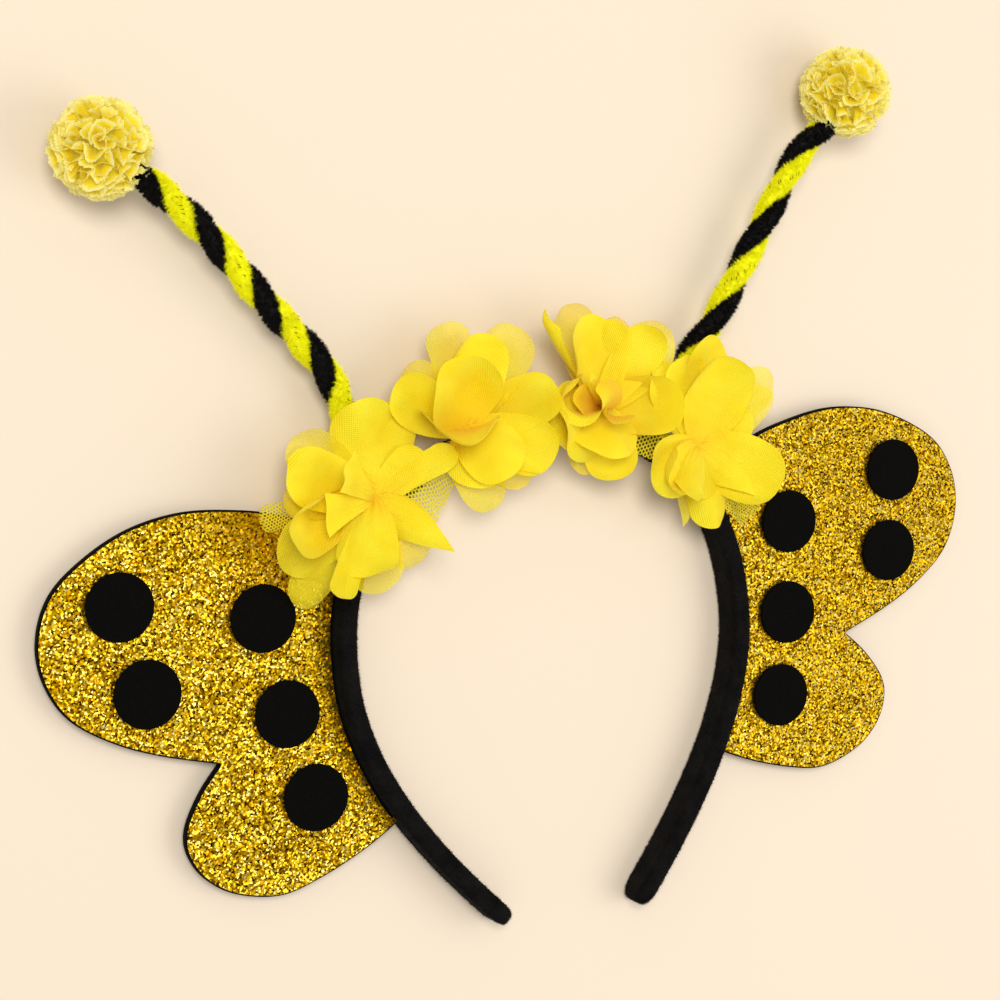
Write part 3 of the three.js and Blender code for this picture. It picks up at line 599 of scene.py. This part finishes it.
def makeStrand(spec, turn, tangle, chance):
    line = antennaLine(spec)
    run = np.linspace(0, 1, len(line)) * np.sum(np.linalg.norm(np.diff(line, axis=0), axis=1))
    along, across, face = frameOf(line)
    angle = spec["phase"] + turn - 2 * np.pi * (run[-1] - run) / spec["pitch"]
    out = face * np.cos(angle)[:, None] + across * np.sin(angle)[:, None]
    wound = line + out * antenna["offset"]
    keep = (run > antenna["start"]) & (run < run[-1] - antenna["stop"])
    wound, out = wound[keep], out[keep]
    along = unit(np.gradient(wound, axis=0))
    out = unit(out - along * np.sum(out * along, axis=1)[:, None])
    beside = np.cross(along, out)
    sides = 24
    spin = np.linspace(0, 2 * np.pi, sides, endpoint=False)
    half = (antenna["offset"] - gap / 2) / np.maximum(-np.cos(spin), 1e-3)
    radius = np.minimum(antenna["core"], half)[None, :, None]
    rings = wound[:, None] + radius * (out[:, None] * np.cos(spin)[None, :, None]
                                       + beside[:, None] * np.sin(spin)[None, :, None])
    faces = gridFaces(len(wound), sides, wrap=True)
    faces.append(list(range(sides)))
    faces.append([(len(wound) - 1) * sides + k for k in reversed(range(sides))])
    core = {"points": rings.reshape(-1, 3), "faces": faces, "reach": np.full(len(wound) * sides, 0.6)}
    # Fibres stand in tufts whose tips draw together, and are pressed flat against the other stem
    tufts, each = antenna["tufts"], antenna["fibres"]
    i = np.repeat(chance.integers(2, len(wound) - 2, tufts), each)
    spin = np.repeat(chance.uniform(-np.pi, np.pi, tufts), each)
    long = antenna["pile"] + np.repeat(np.abs(chance.normal(0, antenna["ragged"], tufts)), each)
    root = np.clip(i + chance.integers(-2, 3, len(i)), 0, len(wound) - 1)
    spread = spin + chance.normal(0, 0.16, len(i))
    flat = (antenna["offset"] - gap / 2) / np.maximum(-np.cos(spin), 1e-3)
    long = np.minimum(long, np.where(np.cos(spin) < 0, flat, 99)) - np.abs(chance.normal(0, 0.12, len(i)))
    rootOut = out[root] * np.cos(spread)[:, None] + beside[root] * np.sin(spread)[:, None]
    roots = wound[root] + rootOut * np.minimum(0.85 * antenna["core"], long)[:, None]
    tips = wound[i] + (out[i] * np.cos(spin)[:, None] + beside[i] * np.sin(spin)[:, None]) * long[:, None]
    tips += tangle * chance.normal(size=tips.shape)
    tips[:, 2] = np.maximum(tips[:, 2], 0.2)
    aims = tips - roots
    hairs = pile(roots, aims, np.linalg.norm(aims, axis=1), antenna["fibreWidth"], chance)
    hairs["reach"] = np.tile([0.55, 0.55, 1.0], len(roots))
    # Short dark marks down the outer side, painted shade where the pile parts over the wire
    step = run[-1] / (len(line) - 1)
    places = np.arange(4, len(wound) - 4, antenna["shadeNickPitch"] / step)
    places = (places + chance.uniform(-1, 1, len(places))).astype(int)
    places = places[chance.random(len(places)) < 0.75]
    skew = chance.uniform(0.5, 1.1, len(places))[:, None]
    sway = chance.normal(0, 0.22, len(places))[:, None]
    aims = along[places] * np.cos(skew) - beside[places] * np.sin(skew)
    stands = (antenna["pile"] + 0.12) * unit(out[places] + beside[places] * sway)
    starts = wound[places] + stands - aims * antenna["shadeNickLength"] / 2
    across = unit(np.cross(aims, out[places])) * antenna["shadeNickWidth"] / 2
    ends = starts + aims * antenna["shadeNickLength"]
    corners = np.stack([starts - across, starts + across, ends], 1).reshape(-1, 3)
    shadeNicks = {"points": corners, "faces": np.arange(len(corners)).reshape(-1, 3).tolist(),
             "reach": np.zeros(len(corners))}
    return joined([core, hairs, shadeNicks])


for name in ("left", "right"):
    spec = antenna[name]
    addPiece(f"{name}_stem_black", makeStrand(spec, math.pi, 0.16, np.random.default_rng(31)), chenilleBlack,
             [f"{name}_antenna_black"])
    addPiece(f"{name}_stem_yellow", makeStrand(spec, 0, 0.34, np.random.default_rng(32)), chenilleYellow,
             [f"{name}_antenna_yellow"])
print("antennas made")

# Pompoms, of net gathered into hairpin folds that stand on the heart all round. Each fold runs
# along the ball as a closed loop or an S.
pompom = {
    "radius": 14.6, "core": 0.64, "heart": 0.5, "folds": 118, "steps": 56, "rows": 8,
    "long": 3.7, "wide": 1.5, "flare": 0.16, "fringe": 0.16, "picots": 15, "scatter": 0.09,
    "loops": 0.55, "lowest": 0.15,
}


def makePompom(middle, chance):
    parts = []
    count = pompom["folds"]
    for k in range(count):
        # Spots spread evenly over a ball
        height = 1 - 2 * (k + 0.5) / count
        turn = k * math.pi * (3 - math.sqrt(5))
        level = math.sqrt(1 - height ** 2)
        out = np.array([level * math.cos(turn), level * math.sin(turn), height])
        out = unit(out + pompom["scatter"] * chance.normal(size=3))
        side = unit(np.cross(out, chance.normal(size=3)))
        other = np.cross(out, side)
        t = np.linspace(0, 1, pompom["steps"])
        long = pompom["long"] * chance.uniform(0.75, 1.25)
        wide = pompom["wide"] * chance.uniform(0.6, 1.5)
        bend = chance.uniform(-0.12, 0.12)
        if chance.random() < pompom["loops"]:
            x = long * np.cos(2 * np.pi * t)
            y = wide * np.sin(2 * np.pi * t) * (1 + 0.35 * np.cos(2 * np.pi * t + chance.uniform(0, 6)))
        else:
            x = 1.3 * long * (2 * t - 1)
            y = 1.25 * wide * np.sin(2 * np.pi * (1.5 * t + chance.random()))
        y = y + bend * x ** 2 + 0.25 * np.sin(2 * np.pi * 4 * t + chance.uniform(0, 6))
        depth = np.linspace(pompom["heart"], 1, pompom["rows"])[:, None]
        ease = depth ** 1.4
        spread = 1 + pompom["flare"] * np.maximum(depth - 0.85, 0) / 0.15
        aims = unit(out + (side * (x / pompom["radius"])[:, None])[None] * (ease * spread)[..., None]
                    + (other * (y / pompom["radius"])[:, None])[None] * (ease * spread)[..., None])
        reach = pompom["radius"] * chance.uniform(0.92, 1.0)
        ragged = (1 + 0.02 * np.sin(2 * np.pi * 3 * t + chance.uniform(0, 6))
                  + 0.012 * chance.normal(size=len(t)))
        radius = reach * depth * (1 + (ragged[None] - 1) * depth ** 3)
        picots = pompom["fringe"] / pompom["radius"] * depth ** 6 * np.sin(2 * np.pi * pompom["picots"] * t)
        aims = unit(aims + other * picots[..., None])
        points = middle + aims * radius[..., None]
        points[..., 2] = np.maximum(points[..., 2], pompom["lowest"])  # rests on the table
        edge = points[-1]
        run = np.concatenate([[0], np.cumsum(np.linalg.norm(np.diff(edge, axis=0), axis=1))])
        flat = np.stack([np.broadcast_to(run[None] + 7.3 * k, radius.shape), radius], -1)
        parts.append({"points": points.reshape(-1, 3), "faces": gridFaces(*radius.shape),
                      "flat": flat.reshape(-1, 2), "reach": np.broadcast_to(depth, radius.shape).ravel()})
    return joined(parts)


def makeHeart(middle, radius):
    rows, columns = 24, 40
    tilt = np.linspace(0.02, np.pi - 0.02, rows)[:, None]
    turn = np.linspace(0, 2 * np.pi, columns, endpoint=False)[None]
    swell = radius * (1 + 0.06 * np.sin(9 * turn + 3 * np.sin(2 * tilt)) * np.sin(tilt))
    points = middle + swell[..., None] * np.stack([np.sin(tilt) * np.cos(turn), np.sin(tilt) * np.sin(turn),
                                                   np.cos(tilt) + 0 * turn], -1)
    faces = gridFaces(rows, columns, wrap=True)
    faces.append(list(range(columns)))
    faces.append([(rows - 1) * columns + k for k in reversed(range(columns))])
    n = rows * columns
    return {"points": points.reshape(-1, 3), "faces": faces, "flat": np.zeros((n, 2)),
            "reach": np.full(n, 0.2)}


for name in ("left", "right"):
    line = antennaLine(antenna[name])
    middle = line[-1]
    ruffles = makePompom(middle, np.random.default_rng(41 if name == "left" else 42))
    piece = addPiece(f"{name}_pompom_ruffles", ruffles, pompomNet, [f"{name}_pompom"])
    ball = makeHeart(middle, pompom["core"] * pompom["radius"])
    heart = addPiece(f"{name}_pompom_heart", ball, pompomNet, [f"{name}_pompom"])
print("pompoms made")

# Tulle strip
strip = {
    "from": 143, "to": 32, "length": 140, "lap": 10.5, "fold": 0.5, "fall": 5.2, "rows": 260, "columns": 40,
    "laps": [0.2, 0.7, 0.95, 0.85, 0.45, 0.2, 0.1, 0.1, 0.15, 0.1, 0.1, 0.15, 0.1, 0.1, 0.15, 0.2],
}


def makeStrip(chance):
    turns = np.radians(np.linspace(strip["from"], strip["to"], strip["rows"]))
    line, out, along = withNormals(crownPoint(turns))
    run = np.linspace(0, 1, strip["rows"])
    lap = strip["lap"] * np.interp(run, np.linspace(0, 1, len(strip["laps"])), strip["laps"])
    inner = band["thickness"] / 2 + gap
    face = band["depth"] + gap + strip["fold"]
    phases = chance.uniform(0, 2 * np.pi, 8)
    grid, flats = [], []
    for k in range(strip["columns"]):
        share = k / (strip["columns"] - 1)
        path = share * (2 * inner + lap + strip["fold"] + strip["fall"])  # run from the inner hem
        across = -inner - lap + path
        turnAt = inner + strip["fold"]
        over = np.maximum(across - turnAt, 0)
        across = np.minimum(across, turnAt)
        height = face - over
        hang = np.clip((-inner - across) / strip["lap"], 0, 1)
        wave = sum(np.sin(2 * np.pi * (6 + 7 * m) * run + phases[m] + 2.2 * share * (m % 2)) / (m + 1)
                   for m in range(4))
        height = height + 0.25 * wave * (over == 0) - 2.5 * hang * (0.6 + 0.5 * wave)
        across = across + 0.9 * hang * np.sin(2 * np.pi * 16 * run + phases[5])
        flat = line + out * across[:, None]
        grid.append(np.column_stack([flat, height]))
        flats.append(np.column_stack([run * strip["length"], path]))
    points = np.stack(grid, 1)
    return {"points": points.reshape(-1, 3), "faces": gridFaces(strip["rows"], strip["columns"]),
            "flat": np.stack(flats, 1).reshape(-1, 2),
            "reach": np.full(strip["rows"] * strip["columns"], 0.9)}


# Flowers. Each petal row: direction seen from the face and lift towards it in degrees, reach and
# width as shares, cup of the sides in degrees, bow of the length, roll about the length in
# degrees, how long the tip is drawn out, where 1 is a half circle, and layers of cloth, where 3
# lie deep in the flower and are given painted shade. Cloth is laid over the band and the stems, which it
# slopes down from.
flower = {
    "radius": 30, "petalWidth": 20, "height": 15, "out": 7,
    "ripple": 0.06, "curl": 0.08, "crease": 0.16, "sheer": 0.72, "solid": 1.05,
    "overBand": 1.4, "bandSide": 4.2, "overStem": 4.8, "stemSide": 3.5, "slope": 1.6, "soft": 0.9,
    "columns": ("turn", "reach", "lift", "width", "cup", "bow", "spin", "tip", "layers"),
    "flower_1": {"angle": 136, "petals": [
        (92, 1.02, 8, 1.0, -16, 0.06, 0, 1, 2), (141, 1.1, 3, 0.85, 8, 0.05, 0, 1, 1),
        (154, 1.05, 12, 0.9, 14, 0.05, 0, 1, 2), (170, 0.97, 0, 0.62, 0, 0.04, 0, 1, 1),
        (140, 0.72, 36, 0.64, 6, 0, 10, 0.3, 2), (190, 1.12, 17, 1.0, 66, 0.2, -12, 1, 2),
        (204, 1.15, 0, 0.9, 8, 0.04, 0, 1, 1), (229, 1.2, 28, 0.44, 36, 0.1, 20, 1, 2),
        (226, 1.28, -3, 0.66, 8, 0.03, 0, 1, 1), (238, 0.88, 36, 0.95, -30, 0.06, 25, 1, 2),
        (316, 0.94, 28, 0.72, -58, 0.02, 12, 2.4, 2), (262, 0.92, 6, 0.9, 8, 0.05, 0, 1, 1),
        (300, 0.8, 6, 0.72, 0, 0.05, 0, 1, 1), (67, 0.97, 4, 0.84, -10, 0.05, 0, 1, 2),
        (36, 0.68, 5, 0.62, -8, 0.04, 0, 1, 2), (24, 0.93, 9, 0.5, -46, 0.04, 0, 1, 2),
        (184, 0.66, 25, 0.66, 6, 0, -10, 0.3, 2)]},
    "flower_2": {"angle": 109, "petals": [
        (104, 0.87, 30, 1.4, 54, 0.12, 0, 1, 2), (189, 0.7, 58, 1.7, 84, 0.02, 76, 0.6, 2),
        (74, 0.97, 12, 0.95, 8, 0.05, 0, 1, 2), (93, 1.07, 3, 0.7, 0, 0.04, 0, 1, 1),
        (54, 1.15, 0, 0.9, 6, 0.05, 0, 1, 1), (146, 0.9, 8, 0.85, 10, 0.05, 0, 1, 2),
        (131, 0.9, 0, 0.75, 0, 0.04, 0, 1, 1), (17, 1.02, 19, 1.05, 70, 0.22, -8, 1, 2),
        (303, 0.72, 46, 1.0, -30, -0.08, 0, 1, 2), (290, 0.64, 28, 1.1, -12, 0, 0, 1, 2),
        (283, 0.87, 6, 0.84, 6, 0.05, 0, 1, 1), (337, 0.97, 12, 0.9, 14, 0.05, 0, 1, 2),
        (321, 0.92, 2, 0.85, 0, 0.05, 0, 1, 1), (321, 0.9, 18, 0.46, -40, 0.03, 10, 2.6, 2)]},
    "flower_3": {"angle": 72, "petals": [
        (106, 1.11, 1, 0.72, 0, 0.05, 0, 1, 1), (123, 1.22, 6, 0.44, 30, 0.04, 68, 1.3, 2),
        (104, 1.0, 16, 0.95, 30, 0.08, 14, 1, 2), (84, 0.9, 16, 0.75, 36, 0.08, -20, 1, 2),
        (75, 0.92, 0, 0.66, 0, 0.05, 0, 1, 1), (42, 1.06, 6, 0.95, 10, 0.06, 0, 1, 1),
        (50, 0.96, 10, 0.8, 6, 0.05, 0, 1, 2), (355, 0.84, 27, 1.25, 78, 0.28, -10, 1, 2),
        (185, 0.62, 38, 1.87, 155, 0, 68, 0.14, 2), (133, 0.66, 44, 0.26, -60, -0.03, 0, 1, 2),
        (156, 0.6, 36, 0.62, 40, 0, 0, 1, 3), (199, 0.52, 62, 0.8, 112, 0, 0, 0.8, 2),
        (200, 0.72, 22, 1.3, -18, -0.06, 0, 1, 2), (248, 0.64, 34, 1.2, -18, -0.06, 0, 1, 2),
        (190, 0.78, 14, 0.95, 8, 0.05, 0, 1, 2), (272, 0.76, 10, 0.9, 6, 0.05, 0, 1, 2),
        (246, 0.72, 0, 0.56, 0, 0.05, 0, 1, 1)]},
    "flower_4": {"angle": 44, "petals": [
        (68, 1.0, 21, 1.1, 26, 0.1, 0, 1, 2), (79, 1.16, 6, 0.8, 10, 0.05, 0, 1.2, 2),
        (99, 0.98, 9, 0.8, 0, 0.05, 0, 1, 2), (33, 1.18, 1, 0.75, 8, 0.04, 0, 1.2, 1),
        (28, 0.98, 8, 0.75, 12, 0.04, 0, 1.3, 1), (116, 1.0, 5, 0.7, 0, 0.05, 0, 1, 2),
        (326, 0.96, 18, 1.1, -14, 0.03, 0, 1, 2), (308, 0.78, 25, 0.6, -30, 0.02, 8, 2.0, 2),
        (271, 0.87, 8, 0.66, -28, 0, 0, 1, 2), (252, 0.86, 0, 0.5, -20, 0.02, 0, 2.4, 1),
        (201, 0.78, 18, 0.95, 14, 0.05, 0, 1, 2), (207, 0.8, 33, 0.85, 72, 0.24, 0, 1, 2),
        (228, 0.88, 44, 0.56, -40, 0.08, 12, 1.9, 2), (258, 0.56, 18, 0.8, 6, 0.05, 0, 1, 1),
        (25, 0.7, 8, 0.8, 0, 0.05, 0, 1, 2)]},
}
leftLine, rightLine = antennaLine(antenna["left"]), antennaLine(antenna["right"])


def flowerMiddle(angle):
    ray = np.array([math.cos(math.radians(angle)), math.sin(math.radians(angle))])
    squareness = band["squareness"]
    total = abs(ray[0] / band["halfWidth"]) ** squareness + abs(ray[1] / band["rise"]) ** squareness
    flat = ray * (total ** (-1 / squareness) + flower["out"]) + [0, band["shoulder"]]
    return np.array([flat[0], flat[1], flower["height"]])


# Lifts cloth over whatever lies below it
def settle(points):
    floor = np.full(len(points), wingFace + gap + dot["thickness"] + 0.4)
    away = np.sqrt(((points[:, None, :2] - arch[None, ::3]) ** 2).sum(-1).min(1))
    slope = flower["slope"] * np.maximum(away - flower["bandSide"], 0)
    floor = np.maximum(floor, band["depth"] + gap + flower["overBand"] - slope)
    for line in (leftLine, rightLine):
        spans = ((points[:, None, :2] - line[None, ::6, :2]) ** 2).sum(-1)
        nearest = spans.argmin(1)
        away = np.sqrt(spans.min(1))
        slope = flower["slope"] * np.maximum(away - flower["stemSide"], 0)
        floor = np.maximum(floor, line[::6][nearest, 2] + flower["overStem"] - slope)
    lifted = points.copy()
    lifted[:, 2] = floor + flower["soft"] * np.logaddexp(0, (points[:, 2] - floor) / flower["soft"])
    return lifted


# Painted shade for a petal, by how deep in the gathers it lies: at its root, inside a rolled one, or below
# the others
def paintedShadeAlong(spec, v):
    if spec["layers"] > 2:
        return 0.95 - 0.5 * v
    if spec["cup"] > 100:
        return 0.6 * np.clip((0.97 - v) / 0.4, 0, 1)
    if spec["cup"] > 60:
        return 0.7 * (1 - v) ** 1.5
    return 0.55 * (1 - v) ** 5


def makePetal(middle, row, chance):
    spec = dict(zip(flower["columns"], row))
    turn, lift, cup, spin = [math.radians(spec[k]) for k in ("turn", "lift", "cup", "spin")]
    along = np.array([math.cos(turn) * math.cos(lift), math.sin(turn) * math.cos(lift), math.sin(lift)])
    flatSide = np.array([-math.sin(turn), math.cos(turn), 0])
    up = np.cross(along, flatSide)
    side = flatSide * math.cos(spin) + up * math.sin(spin)
    up = np.cross(along, side)
    length, half = spec["reach"] * flower["radius"], spec["width"] * flower["petalWidth"] / 2
    # Rows run up the petal to where its rounded end begins, and then over that end
    end = min(half * spec["tip"] / length, 0.7)
    rise = np.linspace(0, 1, 16)
    swing = np.radians(np.linspace(0, 88, 16))[1:]
    v = np.concatenate([rise * (1 - end), 1 - end + end * np.sin(swing)])
    drawn = min(max(spec["tip"] - 1, 0), 1)
    wide = np.concatenate([0.2 + 0.8 * np.sin(np.pi / 2 * rise) ** 0.6,
                           np.cos(swing) + (1 - np.sin(swing) - np.cos(swing)) * drawn])
    loose = 1.0
    if spec["tip"] < 0.5 and abs(spec["cup"]) < 20:  # a folded corner, which keeps straight edges
        wide, loose = 0.12 + 0.88 * v, 0.2
    u = np.linspace(-1, 1, 29)
    v, wide, u = v[:, None], wide[:, None], u[None]
    phases = chance.uniform(0, 2 * np.pi, 9)
    w = u * wide
    ahead = (v - 1 + end) / end
    rim = np.clip(w ** 2 + np.maximum(ahead, 0) ** 2, 0, 1) ** 2
    swirl = np.arctan2(w, np.maximum(ahead, -0.6) + 0.9)
    bend = cup if abs(cup) > 1e-3 else 1e-3
    radius = half / bend
    height = (-4 * spec["bow"] * length * v * (1 - v)
              + loose * flower["curl"] * length * rim * v * math.sin(phases[5])
              + loose * flower["ripple"] * half * rim
              * (2 * np.sin(3 * swirl + phases[0]) + np.sin(6 * swirl + phases[1]))
              + 0.09 * half * v * np.sin(2.4 * w + 3.2 * v + phases[2])
              + 0.05 * half * v * np.sin(4.6 * w - 5 * v + phases[3])
              + 0.2 * (1 - v) ** 3 * np.cos(4.5 * np.pi * u + phases[3])
              + flower["crease"] * half * v * np.sqrt((w - 0.7 * np.sin(phases[7])) ** 2 + 0.002)
              * np.sign(phases[8] - np.pi)
              + 0.14 * v * np.sin(7 * w - 4 * v + phases[4]))
    points = (middle + along * (v * length + 0 * u)[..., None] + side * (radius * np.sin(bend * w))[..., None]
              + up * (height + radius - radius * np.cos(bend * w))[..., None])
    points = settle(points.reshape(-1, 3))
    turned = phases[6]
    across, ahead = half * w + 3 * phases[7], v * length + 0 * u + 3 * phases[8]
    flat = np.stack([across * math.cos(turned) - ahead * math.sin(turned),
                     across * math.sin(turned) + ahead * math.cos(turned)], -1)
    cover = flower["solid"] if spec["layers"] > 1 else flower["sheer"] + 0.2 * (1 - v) ** 2
    # The deep attribute carries the painted shade that the chiffon's colour reads
    return {"points": points, "faces": gridFaces(*w.shape), "flat": flat.reshape(-1, 2),
            "reach": (cover + 0 * w).ravel(), "deep": (paintedShadeAlong(spec, v) + 0 * w).ravel()}


# Scraps of the net look out from below the first and the last flower
scraps = []
for below, row in (("flower_1", (182, 1.12, 0, 0.42, 0, 0.03, 0, 0.6, 1)),
                   ("flower_4", (314, 1.14, -3, 0.9, 0, 0.03, 0, 0.6, 1))):
    middle = flowerMiddle(flower[below]["angle"]) - [0, 0, 4]
    scrap = makePetal(middle, row, np.random.default_rng(55))
    scrap["reach"] = 0 * scrap["reach"] + 0.9
    scrap["flat"] = 1.45 * scrap["flat"]
    scraps.append(scrap)
stripPart = joined([makeStrip(np.random.default_rng(51))] + scraps)
stripPiece = addPiece("tulle_strip_net", stripPart, stripNet, ["tulle_strip"])
print("strip made")

for k in range(1, 5):
    spec = flower[f"flower_{k}"]
    chance = np.random.default_rng(60 + k)
    middle = flowerMiddle(spec["angle"])
    petals = joined([makePetal(middle, row, chance) for row in spec["petals"]])
    piece = addPiece(f"chiffon_flower_{k}", petals, chiffon, [f"flower_{k}"])
print("flowers made")

# Floor, light and camera
studio = {
    "floor": "#e3d3be", "world": "#ffffff", "worldStrength": 0.56,
    "key": {"place": (-0.5, 0.5, 1.6), "size": 0.7, "power": 18.2, "colour": "#fffdf8"},
    "fill": {"place": (0.65, -0.25, 0.75), "size": 0.9, "power": 3.9, "colour": "#ffffff"},
}
material, tree, output = newMaterial("paper_sweep_cream")  # matt paper, which gives an even ground
paper = addNode(tree, "ShaderNodeBsdfPrincipled", {"Base Color": linear(studio["floor"]), "Roughness": 0.9,
                                                  "Specular IOR Level": 0.1})
tree.links.new(paper.outputs["BSDF"], output.inputs["Surface"])
floorMesh = bpy.data.meshes.new("floor")
floorMesh.from_pydata([(-4, -4, 0), (4, -4, 0), (4, 4, 0), (-4, 4, 0)], [], [[0, 1, 2, 3]])
floorMesh.materials.append(material)
floor = bpy.data.objects.new("floor", floorMesh)
bpy.context.scene.collection.objects.link(floor)

world = bpy.data.worlds.new("studio")
world.use_nodes = True
world.node_tree.nodes["Background"].inputs["Color"].default_value = linear(studio["world"])
world.node_tree.nodes["Background"].inputs["Strength"].default_value = studio["worldStrength"]
bpy.context.scene.world = world
for name in ("key", "fill"):
    spec = studio[name]
    data = bpy.data.lights.new(name, "AREA")
    data.shape = "DISK"
    data.size = spec["size"]
    data.energy = spec["power"]
    data.color = linear(spec["colour"])[:3]
    lamp = bpy.data.objects.new(name, data)
    lamp.location = spec["place"]
    lamp.rotation_euler = (-Vector(spec["place"])).to_track_quat("-Z", "Y").to_euler()
    bpy.context.scene.collection.objects.link(lamp)

view = {
    "place": (-307.6, 197.4, 644.15), "sight": (0.4185, -0.1254, -0.8995),
    "upward": (0.1438, 0.9871, -0.0707), "roll": -0.55, "lens": 84.3,
}
sight = Vector(view["sight"]).normalized()
right = sight.cross(Vector(view["upward"])).normalized()
upward = right.cross(sight)
c, s = math.cos(math.radians(view["roll"])), math.sin(math.radians(view["roll"]))
right, upward = right * c + upward * s, upward * c - right * s
lens = bpy.data.cameras.new("camera")
lens.lens = view["lens"]
lens.sensor_width = 36
camera = bpy.data.objects.new("camera", lens)
turned = Matrix((right, upward, -sight)).transposed().to_4x4()
place = (Vector(view["place"]) + Vector((0, drop, 0))) / 1000
camera.matrix_world = Matrix.Translation(place) @ turned
bpy.context.scene.collection.objects.link(camera)
bpy.context.scene.camera = camera
bpy.context.scene.view_settings.view_transform = "Standard"
print("stage set")
